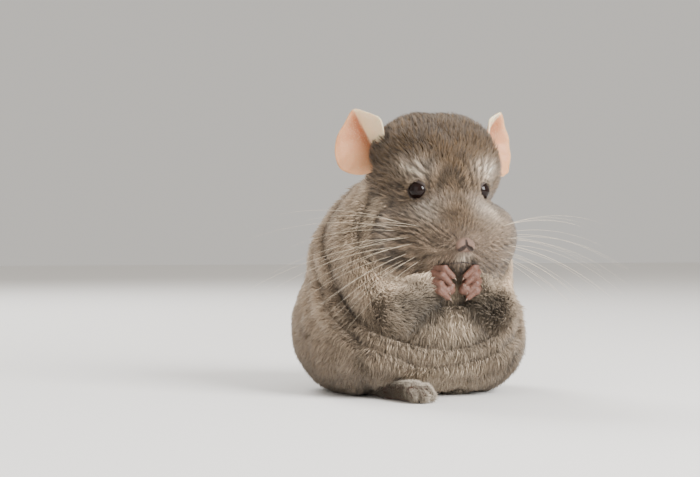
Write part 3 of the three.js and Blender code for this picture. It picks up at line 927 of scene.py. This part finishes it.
def tuft_mesh(name, points, faces, spots, colours):
    """One mesh of many tufts, each a small patch of the unwrap round its root."""
    count, corners = points.shape[:2]
    whole = (faces[None] + (np.arange(count) * corners)[:, None, None]).reshape(-1, 3)
    flat = points.reshape(-1, 3)
    flat[:, 2] = np.maximum(flat[:, 2], 0.12)
    mesh = mesh_of(name, flat, whole)
    number = np.arange(corners)
    level = np.minimum(number // 3, corners // 3) / (corners // 3)
    aside = np.where(number == corners - 1, 0.5, number % 3 / 2)
    patch = np.stack((aside, level), 1) * PATCH - PATCH / 2
    corner_spots = (spots[:, None] + patch[None]).reshape(-1, 2)
    layer = mesh.uv_layers.new(name="OFBake")
    layer.data.foreach_set("uv", corner_spots[whole.ravel()].astype(np.float32).ravel())
    paint(mesh, colours.reshape(-1, 3))
    return mesh


def tuft_colours(base, root_shade, corners, tip_light, spread, draw):
    """Colours from roots darkened by painted shade to light tips, each tuft a little its own by the spread.
    """
    own = 1 + (spread * draw.normal(size=len(base)))[:, None]
    body = base * np.clip(own, 0.6, 1.5)
    # Painted shade on the three root corners of each tuft
    shades = [body * root_shade] * 3 + [body] * (corners - 4)
    return np.stack(shades + [np.minimum(body * tip_light[:, None], 1)], 1)


def short_fur(name, piece, per_mm2, length, width, way_of, colour_of, material, seed):
    """Grows short straight hair over a piece, such as a foot or an ear."""
    draw = np.random.default_rng(seed)
    triangles, normals, spots = skin_faces(piece)
    density = per_mm2 * (triangles.mean(1)[:, 2] > 1.6)
    root, normal, spot = sow(triangles, normals, spots, density, draw)
    count = len(root)
    way = along_skin(way_of(root), normal)
    way = turned_about(way, normal, draw.normal(0, 0.25, count))
    lengths = length * draw.uniform(0.7, 1.15, count)
    lift = draw.uniform(0.35, 0.6, count)
    points, faces = tufts(root, normal, way, lengths, lift, width, False, draw)
    tip_light = draw.uniform(1.0, 1.4, count)
    base = np.broadcast_to(colour_of(root), root.shape)
    colours = tuft_colours(base, 0.7, points.shape[1], tip_light, 0.13, draw)
    add_piece(name, tuft_mesh(name, points, faces, spot, colours), material)


SKIN_BOX = ((-64, -82, -4), (66, 152, 156))
# The skin is painted darker than the coat: painted shade where it shows between the tufts.
SKIN_SHADE = 0.85


class CHINCHILLA_OT_skin(bpy.types.Operator):
    """Builds the one skin under the coat"""

    bl_idname = "chinchilla.skin"
    bl_label = "Build Skin"

    def execute(self, context):
        shape = surface_of(skin_form, *SKIN_BOX, CELLS["skin"])
        colours = markings_and_painted_light(shape[0], context.scene.chinchilla_coat) * SKIN_SHADE
        material = coat_material("skin under the coat")
        unwrap(add_shape("skin", shape, material, FLESH_NODES, colours))
        return {"FINISHED"}


COAT_PIECES = (
    "face",
    "crown",
    "chest",
    "belly",
    "shoulder_right",
    "shoulder_left",
    "haunch_right",
    "haunch_left",
    "back",
    "rump",
)


WAIST_UP = 52
FACE_AHEAD = 42


def coat_piece(points, on_the_head):
    """The number of the coat piece in which each root grows."""
    side, ahead, up = points[:, 0], -points[:, 1], points[:, 2]
    low = up < WAIST_UP
    front = ahead > 0.8 * np.abs(side)
    head = on_the_head > 0.5
    areas = {"rump": low, "back": ~low}
    for name, direction in BOTH_SIDES.items():
        flank = (side * direction > np.abs(ahead) * 0.9) & ~front
        areas[f"haunch_{name}"] = flank & low
        areas[f"shoulder_{name}"] = flank & ~low
    areas["belly"] = front & low
    areas["chest"] = front & ~low
    areas["face"] = head & (ahead >= FACE_AHEAD)
    areas["crown"] = head & (ahead < FACE_AHEAD)
    piece = np.zeros(len(points), int)
    for name, area in areas.items():
        piece[area] = COAT_PIECES.index(name)
    return piece


# Tufts on a square millimetre, and how many share a clump
PLUSH_DENSITY = 0.42
FINE_DENSITY = USUAL_DENSITY / 100
FACE_DENSITY = 6.5
CLUMPS = {"plush": 6, "fine": 14}


class CHINCHILLA_OT_coat(bpy.types.Operator):
    """Grows the plush coat over the skin"""

    bl_idname = "chinchilla.coat"
    bl_label = "Grow Coat"

    def execute(self, context):
        skin = skin_faces(bpy.data.objects["skin"])
        material = coat_material("plush coat")
        for bent in (True, False):
            self.grow(context.scene.chinchilla_coat, skin, material, bent)
        return {"FINISHED"}

    def grow(self, coat, skin, material, bent):
        """One layer of the coat: long bent tufts below, or fine straight ones between them."""
        layer = "plush" if bent else "fine"
        draw = np.random.default_rng(SEEDS[layer])
        share = 1.0
        middles = skin[0].mean(1)
        on_the_head, on_the_arms, on_the_tail = belongings(middles)
        near_face = on_the_head * (1 - rise(apart(middles, NOSE_TIP), 30, 75))
        density = PLUSH_DENSITY * (1 - near_face) if bent else mix(FINE_DENSITY, FACE_DENSITY, near_face)
        density = density * (1 + 0.5 * on_the_arms) * (1 - on_the_tail)
        density = density * ((middles[:, 2] > 1.5) & (mouth_distance(middles) > 0.8))
        root, normal, spot = sow(*skin, density * (coat.density / USUAL_DENSITY) * share, draw)
        count = len(root)
        on_the_head, on_the_arms, _ = belongings(root)
        off_the_head = 1 - on_the_head
        from_nose = apart(root, NOSE_TIP)
        head_length = mix(coat.face_length, coat.crown_length, rise(from_nose, 6, 60))
        length = mix(coat.body_length, head_length, on_the_head)
        length = mix(length, coat.face_length * 1.8, on_the_arms * 0.8) / MM
        length *= 1 - 0.55 * bump(from_eyes(root) - EYE_RADIUS, 4)
        length *= draw.uniform(0.85, 1.12, count) * (1.35 if bent else 1.0)
        length *= 1 - 0.3 * np.clip(partings(root), 0, 1) * off_the_head
        lift = mix(0.72, 0.5, on_the_head) * (0.8 if bent else 1.0)
        lift = np.clip(lift + 0.09 * waves(root, 12, 5), 0.25, 0.92)
        turn = 0.35 * waves(root, 14, 6) + draw.normal(0, 0.14, count)
        way = turned_about(lie_of_coat(root, normal), normal, turn)
        width = coat.tuft_width / MM * mix(1.0, 0.62, on_the_head) / math.sqrt(share)
        width = width * mix(1.0, 0.75, rise(30 - from_nose, 0, 20) * on_the_head)
        points, faces = tufts(root, normal, way, length, lift, width, bent, draw)
        clump, leaders = gathered(root, CLUMPS[layer], draw)
        pull = 0.9 * mix(0.25, 0.4, on_the_head)[:, None]
        points[:, -1] = mix(points[:, -1], points[leaders, -1][clump], pull)
        strokes = mix(
            0.08 * streaks(root, way, 2.4, 3.5, 9), streaks(root, way, 1.7, 2.6, 10), on_the_head
        )
        clump_shade = draw.normal(0, 0.06, len(leaders))[clump]
        base = markings_and_painted_light(root, coat) * np.clip(1 + strokes + clump_shade, 0.35, 1.9)[:, None]
        tip_light = draw.uniform(1.0, mix(1.24, 1.9, on_the_head))
        spread = mix(0.1, 0.2, on_the_head)
        colours = tuft_colours(base, coat.root_shade, points.shape[1], tip_light, spread, draw)
        piece = coat_piece(root, on_the_head)
        for number, area in enumerate(COAT_PIECES):
            mine = piece == number
            name = f"{layer}_{area}"
            mesh = tuft_mesh(name, points[mine], faces, spot[mine], colours[mine])
            add_piece(name, mesh, material)


class CHINCHILLA_OT_tail(bpy.types.Operator):
    """Grows the long coarse locks of the tail"""

    bl_idname = "chinchilla.tail"
    bl_label = "Grow Tail"

    def execute(self, context):
        tail = context.scene.chinchilla_tail
        draw = np.random.default_rng(SEEDS["tail"])
        skin = skin_faces(bpy.data.objects["skin"])
        root, normal, spot = sow(*skin, 4.2 * belongings(skin[0].mean(1))[2], draw)
        count = len(root)
        share, heading = along_tail(root)
        length = tail.lock_length / MM * mix(0.45, 1.0, rise(share, 0.1, 0.5))
        length = length * draw.uniform(0.75, 1.0, count) * np.clip((TAIL_END - root[:, 1]) / 30, 0.3, 1)
        spread = draw.uniform(3.5, 10, count) * mix(0.8, 1.25, rise(share, 0.2, 0.7))
        lift = np.clip(spread / np.maximum(length, 10), 0.08, 0.6)
        way = along_skin(turned_about(heading, normal, draw.normal(0, 0.2, count)), normal)
        points, faces = tufts(root, normal, way, length, lift, 0.6, True, draw)
        base = mix_rows(tail.colour, tail.tip_colour, 0.35 * draw.random(count))
        by_body = 1 - rise(share, 0.12, 0.5)
        base = mix_rows(base, markings_and_painted_light(root, context.scene.chinchilla_coat), by_body)
        tip_light = draw.uniform(1.0, 1.6, count)
        colours = tuft_colours(base, 0.7, points.shape[1], tip_light, 0.13, draw)
        mesh = tuft_mesh("tail_locks", points, faces, spot, colours)
        hair = coat_material("coarse tail hair", 0.7)
        add_piece("tail_locks", mesh, hair, ["tail_brush"])
        return {"FINISHED"}


class CHINCHILLA_OT_eyes(bpy.types.Operator):
    """Builds the eyeballs and the edges of the lids"""

    bl_idname = "chinchilla.eyes"
    bl_label = "Build Eyes and Lids"

    def execute(self, context):
        face = context.scene.chinchilla_face
        gloss = new_material("wet eye", 0.05, face.eye_colour, IOR=1.38, Specular_IOR_Level=0.3)
        rim = new_material("lid edge", 0.6, face.lid_colour)
        reach = EYE_RADIUS + 1
        for name, side in BOTH_SIDES.items():
            middle = EYE_MIDDLES[name]
            ball = surface_of(
                lambda spots: apart(spots, middle) - EYE_RADIUS, middle - reach, middle + reach, CELLS["eye"]
            )
            add_shape(f"eyeball_{name}", ball, gloss, [f"eye_{name}"])
            look = eye_look(side)
            across = unit(np.cross(look, (0.0, 0.0, 1.0)))
            upward = np.cross(across, look)
            turn = np.linspace(0, 2 * math.pi, 48, endpoint=False)
            from_slant = np.angle(np.exp(1j * (turn - math.radians(90 - 20 * side))))
            flat_top = bump(from_slant, 0.95)
            opening = np.radians(67 - 18 * flat_top)[:, None]
            around = across * np.cos(turn)[:, None] + upward * np.sin(turn)[:, None]
            outward = look * np.cos(opening) + around * np.sin(opening)
            ring = middle + (EYE_RADIUS + 0.1) * outward
            radii = face.lid_thickness / MM * (0.6 + 0.8 * flat_top)
            lid = tube(ring, radii, closed=True, reference=unit(outward))
            add_shape(f"lids_{name}", lid, rim)
        return {"FINISHED"}


class CHINCHILLA_OT_nose(bpy.types.Operator):
    """Builds the nose pad with its nostrils, and the dark line of the mouth"""

    bl_idname = "chinchilla.nose"
    bl_label = "Build Nose and Mouth"

    def execute(self, context):
        face = context.scene.chinchilla_face
        skin = coat_material("nose skin", 0.5)
        add_bump(skin, add_noise(skin, 2600).outputs["Fac"], 0.0003)
        pad = surface_of(self.pad, on_head(-9, 82, 70), on_head(9, 66, 88), CELLS["nose"])
        # Painted shade in the nostrils and the groove between them.
        depth = rise(self.slits(pad[0]), 0.1, 0.7)[:, None]
        colours = np.array(face.nose_colour) * mix(0.2, 1.0, depth)
        add_shape("nose_pad", pad, skin, colours=colours)
        # A dark tube in the mouth's groove: painted shade in the crease between the lips.
        inner = new_material("mouth line", 0.6, face.lid_colour)
        lines = [
            tube(curve_through(spots, 12) + place(0, -0.6, 0), np.linspace(0.4, 0.15, 12), 6)
            for spots in MOUTH_SPOTS.values()
        ]
        add_shape("mouth_line", joined(lines), inner)
        return {"FINISHED"}

    @staticmethod
    def slits(points):
        """The comma-shaped nostrils and the groove between them."""
        top, foot = on_head(0, NOSE_AHEAD, NOSE_UP + 2.8), on_head(0, NOSE_AHEAD + 0.4, NOSE_UP - 0.6)
        cuts = [limb(points, top, foot, 0.25, 0.5)]
        for side in SIDES:
            comma = (
                on_head(side * 0.3, NOSE_AHEAD + 0.5, NOSE_UP - 0.6),
                on_head(side * 2.2, NOSE_AHEAD + 0.3, NOSE_UP - 1.9),
                on_head(side * 3.8, NOSE_AHEAD - 0.7, NOSE_UP - 2.9),
            )
            cuts.append(chain(points, comma, (0.55, 0.85, 0.6), 0.4))
        return np.minimum.reduce(cuts)

    @classmethod
    def pad(cls, points):
        """Two soft lobes and a bridge, cut by the nostrils and the groove."""
        masses = [(on_head(0, NOSE_AHEAD - 2.6, NOSE_UP + 0.2), (4.5, 2.8, 3.9))]
        for side in SIDES:
            masses.append((on_head(side * 2.5, NOSE_AHEAD - 2.4, NOSE_UP - 0.6), (2.7, 2.7, 3.0)))
        return np.maximum(grown(points, masses, 1.4), -cls.slits(points))


def ear_layout(share, angle):
    """How far out and up each spot of the ear lies, and how far outside the fold down the ear."""
    reach = share * ear_rim(angle)
    width, height = np.cos(angle) * reach, np.sin(angle) * reach
    return width, height, width - 0.8 + 0.0115 * (17.6 - height) ** 2


def ear_spots(side, share, angle, lift):
    """Spots on the ear's sheet: share from its middle to its rim, angle round it, lift off its face."""
    facing = unit(place(side * math.sin(EAR_SWEEP), math.cos(EAR_SWEEP), 0.05))
    upward = place(side * 0.1, -0.12, 1)
    upward = unit(upward - facing * (upward @ facing))
    outwards = unit(np.cross(upward, facing)) * side
    width, height, fold = ear_layout(share, angle)
    sink = -8.0 * (1 - share**1.7) - 1.4 * bump(share - 1, 0.12)
    crease = 3.2 * np.exp(-np.abs(fold) / 3) * rise(share, 1.02, 0.75)
    ribs = 0.3 * np.sin(angle * 9 + width * 0.3) * rise(share, 0.3, 0.7)
    middle = on_head(side * 41.5, 25.5, SITTING_HEIGHT - 15)
    own = np.stack((width, height, sink - crease + ribs + lift), 1)
    return middle + own @ np.stack((outwards, upward, facing))


EAR_EDGES = {0: 14.4, 40: 12.3, -56: 18.0, -92: 18.6, 118: 15.8, 180: 15.5, -140: 18.0}


def ear_rim(angle):
    """How far the ear's rim is from its middle: straight edges with their corners rounded."""
    roundness = 10
    total = sum(
        (np.maximum(np.cos(angle - math.radians(facing)), 0) / distance) ** roundness
        for facing, distance in EAR_EDGES.items()
    )
    return total ** (-1 / roundness)


def ear_colours(share, angle, ears):
    """Deep warm skin beside the fold, a paler flap before it and a pale rim."""
    fold = ear_layout(share, angle)[2]
    deep = rise(fold, -0.6, 0.6) * bump(fold - 1, 6) * (1 - rise(share, 0.75, 1))
    colour = mix_rows(ears.colour, ears.deep_colour, deep)
    colour = mix_rows(colour, ears.flap_colour, rise(fold, 0.8, -0.8))
    return dimmed(colour, -0.12 * rise(share, 0.85, 1))


class CHINCHILLA_OT_ears(bpy.types.Operator):
    """Builds the thin bare ears with their fold and fuzz"""

    bl_idname = "chinchilla.ears"
    bl_label = "Build Ears"

    def execute(self, context):
        ears = context.scene.chinchilla_ears
        skin = bare_material("ear skin", 0.5, 0.003, (1.0, 0.45, 0.3))
        add_bump(skin, add_noise(skin, 260, 4.0).outputs["Fac"], 0.0006)
        add_paint(skin)
        down = coat_material("ear down")
        length = ears.fuzz_length / MM
        pale = np.array(ears.flap_colour) * 1.05
        for name, side in BOTH_SIDES.items():
            root = on_head(side * 34, 28, 126)
            *shape, colours = self.shell(side, ears)
            piece = add_shape(f"ear_skin_{name}", shape, skin, [f"ear_{name}"], colours)
            unwrap(piece)
            ways = (lambda spots: spots - root, lambda spots: pale)
            short_fur(f"ear_down_{name}", piece, 0.9, length, 0.12, *ways, down, SEEDS["ears"])
        return {"FINISHED"}

    @staticmethod
    def shell(side, ears):
        """A closed sheet: a front face and a back face of rings, joined at the rim and the middle."""
        rings, spokes = 18, 72
        share = np.repeat(np.linspace(0.004, 1, rings), spokes)
        angle = np.tile(np.linspace(0, 2 * math.pi, spokes, endpoint=False), rings)
        sheets = [ear_spots(side, share, angle, lift) for lift in (0, -ears.thickness / MM)]
        colours = np.tile(ear_colours(share, angle, ears), (2, 1))
        quads = ring_quads(rings, spokes)
        size = rings * spokes
        edge = np.arange(spokes)
        beside = (edge + 1) % spokes
        hub = np.stack((edge, edge + size, beside + size, beside), 1)
        faces = np.concatenate((quads, quads[:, ::-1] + size, hub + size - spokes, hub[:, ::-1]))
        return np.concatenate(sheets), faces[:, ::-side], colours


def hand_spot(side, across, ahead, up):
    return place(
        HANDS_SIDE + side * (HAND_SIDE + across * HAND_SIZE),
        HAND_AHEAD + ahead * HAND_SIZE,
        HAND_UP + up * HAND_SIZE,
    )


def finger_spots(side, finger):
    """Knuckle, bend and tip of a finger, the first finger topmost."""
    down = (0, 3.4, 7.6, 11.0)[finger]
    inward = (0, 1.3, 2.6, 2.2)[finger]
    return (
        hand_spot(side, 3.7 + 0.5 * inward, -1.2, 3.6 - 0.93 * down),
        hand_spot(side, 0.9 + 0.6 * inward, 3.3 - 0.5 * inward, 2.6 - 0.95 * down),
        hand_spot(side, -3.3 + 0.9 * inward, 2.8 - 0.4 * inward, -1.2 - 0.86 * down),
    )


def thumb_spots(side):
    return (
        hand_spot(side, -0.5, -1, -6), hand_spot(side, -2.6, 1.2, -6.6), hand_spot(side, -3.7, 1.8, -5.4),
    )


def paw_material(paws):
    """Bare pinkish skin, mottled and with fine creases."""
    skin = bare_material("paw skin", 0.2, 0.002, (1.0, 0.4, 0.25))
    creases = add_noise(skin, 900, 5.0).outputs["Fac"]
    mottling = add_node(skin, "ShaderNodeMix", data_type="RGBA")
    mottling.inputs["A"].default_value = (*(channel * 0.72 for channel in paws.skin_colour), 1)
    mottling.inputs["B"].default_value = (*paws.skin_colour, 1)
    skin.node_tree.links.new(creases, mottling.inputs["Factor"])
    feed_shader(skin, mottling.outputs["Result"], "Base Color")
    add_bump(skin, creases, 0.0006)
    return skin


def claw(spot, heading, past, length, width):
    """A small curved claw that starts a little past a toe's tip and droops towards its own."""
    heading = unit(heading)
    share = np.linspace(0, 1, 7)[:, None]
    path = spot + heading * (past + length * share) + place(0, 0, -0.35) * length * share**2
    return tube(path, width * (1 - share[:, 0] ** 1.5) + 0.03, flat=1.2)


class CHINCHILLA_OT_hands(bpy.types.Operator):
    """Builds the two hands, held together under the mouth"""

    bl_idname = "chinchilla.hands"
    bl_label = "Build Hands"

    def execute(self, context):
        paws = context.scene.chinchilla_paws
        skin = paw_material(paws)
        horn = new_material("claw", 0.35, paws.claw_colour)
        length = 0.8 * paws.claw_length / MM
        claws = []
        for name, side in BOTH_SIDES.items():
            low, high = box_mm(f"hand_{name}")
            shape = surface_of(lambda spots: self.hand(spots, side), low - 3, high + 2, CELLS["hand"])
            add_shape(f"hand_skin_{name}", shape, skin, [f"hand_{name}"])
            for finger in range(4):
                _, bend, tip = finger_spots(side, finger)
                claws.append(claw(tip, unit(tip - bend) + place(0, 0.4, 0), 0.9, length, 0.42))
        add_shape("hand_claws", joined(claws), horn)
        return {"FINISHED"}

    @staticmethod
    def hand(points, side):
        """A palm, its heel, four slender fingers bent in towards the middle, and the stub of a thumb."""
        heel = hand_spot(side, 4, -7, -6.5), hand_spot(side, 1.2, -3, -4.3)
        parts = [
            mass(points, hand_spot(side, 1.6, -2.2, -3.4), (5.0, 4.8, 6.2), 0, side * 20),
            mass(points, hand_spot(side, -2.6, 0.2, -7.2), (3.2, 2.9, 2.9)),
            limb(points, *heel, 3.9, 4.0),
            chain(points, thumb_spots(side), (2.0, 1.8, 1.3), 0.8),
        ]
        parts += [chain(points, finger_spots(side, finger), (1.9, 1.9, 1.45), 0.8) for finger in range(4)]
        return blended(parts, 0.45)


class CHINCHILLA_OT_feet(bpy.types.Operator):
    """Builds the hind feet with their toes and claws"""

    bl_idname = "chinchilla.feet"
    bl_label = "Build Feet"

    def execute(self, context):
        paws = context.scene.chinchilla_paws
        skin = paw_material(paws)
        fur = coat_material("foot fur")
        horn = new_material("toe claw", 0.35, paws.claw_colour)
        forwards = place(0, 1, -0.15)
        claws = []
        for name in BOTH_SIDES:
            low, high = box_mm(f"foot_{name}")
            shape = surface_of(lambda spots: self.foot(spots, name), low - 3, high + 2, CELLS["foot"])
            piece = add_shape(f"foot_skin_{name}", shape, skin, [f"foot_{name}"])
            unwrap(piece)
            ways = (lambda spots: forwards, lambda spots: self.fur_colours(spots, name, paws))
            short_fur(f"foot_fur_{name}", piece, 8.5, 3.4, 0.4, *ways, fur, SEEDS["feet"])
            for toe in (-1, 0, 1):
                _, knuckle, tip = self.toe_spots(name, toe)
                level = unit(tip - knuckle) * (1, 1, 0.2)
                claws.append(claw(tip, level, 1.2, paws.claw_length / MM, 0.6))
        add_shape("foot_claws", joined(claws), horn)
        return {"FINISHED"}

    @staticmethod
    def fur_colours(points, name, paws):
        """Pale toes, and painted shade towards the heel, where the foot runs in under the body."""
        from_toes = 70 - FOOT_DRAWN_BACK[name] + points[:, 1]
        return np.array(paws.fur_colour) * mix(1.0, 0.5, rise(from_toes, 8, 28))[:, None]

    @staticmethod
    def toe_spots(name, toe):
        side, back = BOTH_SIDES[name], FOOT_DRAWN_BACK[name]
        start = place(side * 18 + toe * 2.6, 58 - back, 5)
        tip = place(side * 16 + toe * 4.4, 70 - back - 2.5 * abs(toe), 3.4)
        return start, mix(start, tip, 0.55) + place(0, 0, 1.6), tip

    @classmethod
    def foot(cls, points, name):
        """A long sole, flat on the floor, and three toes."""
        side, back = BOTH_SIDES[name], FOOT_DRAWN_BACK[name]
        heel = place(side * 30, 72 - FOOT_LENGTH - back, 3.8)
        sole = (heel, place(side * 24, 42 - back, 4.4), place(side * 18, 60 - back, 4.9))
        parts = [chain(points, sole, (3.6, 4.4, 4.9), 2)]
        parts += [chain(points, cls.toe_spots(name, toe), (2.6, 2.7, 1.9), 0.8) for toe in (-1, 0, 1)]
        return np.maximum(blended(parts, 1.2), 0.2 - points[:, 2])


class CHINCHILLA_OT_whiskers(bpy.types.Operator):
    """Builds the long fine whiskers in rows on each side of the muzzle"""

    bl_idname = "chinchilla.whiskers"
    bl_label = "Build Whiskers"

    def execute(self, context):
        settings = context.scene.chinchilla_whiskers
        hair = new_material("whisker", 0.4, settings.colour)
        draw = np.random.default_rng(SEEDS["whiskers"])
        length = settings.length / MM
        radius = settings.thickness / MM / 2
        share = np.linspace(0, 1, 18)[:, None]
        rows, places = 5, 4
        made = []
        for side in SIDES:
            for number in range(rows * places):
                down = number // places / (rows - 1)
                back = number % places / (places - 1)
                reach = length * (0.98 - 0.28 * back) * draw.uniform(0.82, 1.0)
                reach *= 1 - 0.22 * abs(2 * down - 1)
                climb = 0.44 - 0.56 * down - 0.22 * back + draw.normal(0, 0.09)
                out = unit(place(side, -0.16 + 0.3 * back + draw.normal(0, 0.06), climb))
                across, ahead = side * (16.5 - 5 * back), NOSE_AHEAD - 15 + 5 * back
                path = on_head(across, ahead, NOSE_UP + 6 - 9 * down) + out * reach * 0.96 * share
                path = path + place(0, -0.1, -0.3 - 0.1 * down) * reach * share**2
                made.append(tube(path, radius * (1 - 0.85 * share[:, 0]), 5, reference=(0.0, -1.0, 0.3)))
        add_shape("whisker_fan", joined(made), hair)
        return {"FINISHED"}


# Each light's place in metres, its size and its share of the main light's power
LIGHTS = {
    "key": ((0.62, -1.05, 0.72), 0.7, 1.0),
    "fill": ((-1.2, -0.9, 0.6), 1.2, 0.13),
    "back": ((-0.4, 1.2, 1.2), 0.8, 0.6),
}
LIT_SPOT = (0, 0, 0.075)
ROOM_COLOUR = (0.93, 0.89, 0.83)
ROOM_LIGHT = 0.72
FLOOR_HALF = 4000.0
CAMERA_SPOT = (-0.279, -0.8035, 0.0833)
CAMERA_LOOK = (0.292, 0.956, 0)


def add_to_stage(name, data, spot=(0, 0, 0), look=None):
    """Puts something of the stage in the scene, facing where it looks."""
    thing = bpy.data.objects.new(name, data)
    thing.location = spot
    if look is not None:
        thing.rotation_euler = Vector(look).to_track_quat("-Z", "Y").to_euler()
    bpy.context.scene.collection.objects.link(thing)
    return thing


class CHINCHILLA_OT_stage(bpy.types.Operator):
    """Sets the floor, the lights and the camera"""

    bl_idname = "chinchilla.stage"
    bl_label = "Set Stage"

    def execute(self, context):
        stage = context.scene.chinchilla_stage
        corners = np.array([(-1, -1, 0), (1, -1, 0), (1, 1, 0), (-1, 1, 0)]) * FLOOR_HALF
        mesh = mesh_of("floor", corners, np.array([(0, 1, 2, 3)]))
        mesh.materials.append(new_material("plain floor", 0.9, stage.floor_colour))
        add_to_stage("floor", mesh)
        for name, (spot, size, share) in LIGHTS.items():
            light = bpy.data.lights.new(name, "AREA")
            light.size = size
            light.energy = stage.key_power * share
            add_to_stage(name, light, spot, Vector(LIT_SPOT) - Vector(spot))
        world = bpy.data.worlds.new("pale room")
        world.use_nodes = True
        background = world.node_tree.nodes["Background"]
        background.inputs["Color"].default_value = (*ROOM_COLOUR, 1)
        background.inputs["Strength"].default_value = ROOM_LIGHT
        context.scene.world = world
        lens = bpy.data.cameras.new("photo view")
        lens.sensor_width = 36
        lens.sensor_fit = "HORIZONTAL"
        lens.lens = stage.lens
        context.scene.camera = add_to_stage("photo view", lens, CAMERA_SPOT, CAMERA_LOOK)
        return {"FINISHED"}


STEPS = (
    CHINCHILLA_OT_skin,
    CHINCHILLA_OT_coat,
    CHINCHILLA_OT_tail,
    CHINCHILLA_OT_eyes,
    CHINCHILLA_OT_nose,
    CHINCHILLA_OT_ears,
    CHINCHILLA_OT_hands,
    CHINCHILLA_OT_feet,
    CHINCHILLA_OT_whiskers,
    CHINCHILLA_OT_stage,
)


class CHINCHILLA_PT_panel(bpy.types.Panel):
    """Lists the steps that dress the model and the sizes and colours they use"""

    bl_label = "Chinchilla"
    bl_idname = "CHINCHILLA_PT_panel"
    bl_space_type = "VIEW_3D"
    bl_region_type = "UI"
    bl_category = "Chinchilla"

    def draw(self, context):
        for step in STEPS:
            self.layout.operator(step.bl_idname)
        for name, group in SETTINGS.items():
            box = self.layout.box()
            for setting in group.__annotations__:
                box.prop(getattr(context.scene, name), setting)


def register():
    for group in SETTINGS.values():
        bpy.utils.register_class(group)
    for name, group in SETTINGS.items():
        setattr(bpy.types.Scene, name, bpy.props.PointerProperty(type=group))
    for step in STEPS:
        bpy.utils.register_class(step)
    bpy.utils.register_class(CHINCHILLA_PT_panel)


def unregister():
    bpy.utils.unregister_class(CHINCHILLA_PT_panel)
    for step in reversed(STEPS):
        bpy.utils.unregister_class(step)
    for name in SETTINGS:
        delattr(bpy.types.Scene, name)
    for group in reversed(SETTINGS.values()):
        bpy.utils.unregister_class(group)


def main():
    """Builds every piece in order."""
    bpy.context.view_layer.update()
    register()
    for step in STEPS:
        group, name = step.bl_idname.split(".")
        getattr(getattr(bpy.ops, group), name)()


if __name__ == "__main__":
    main()
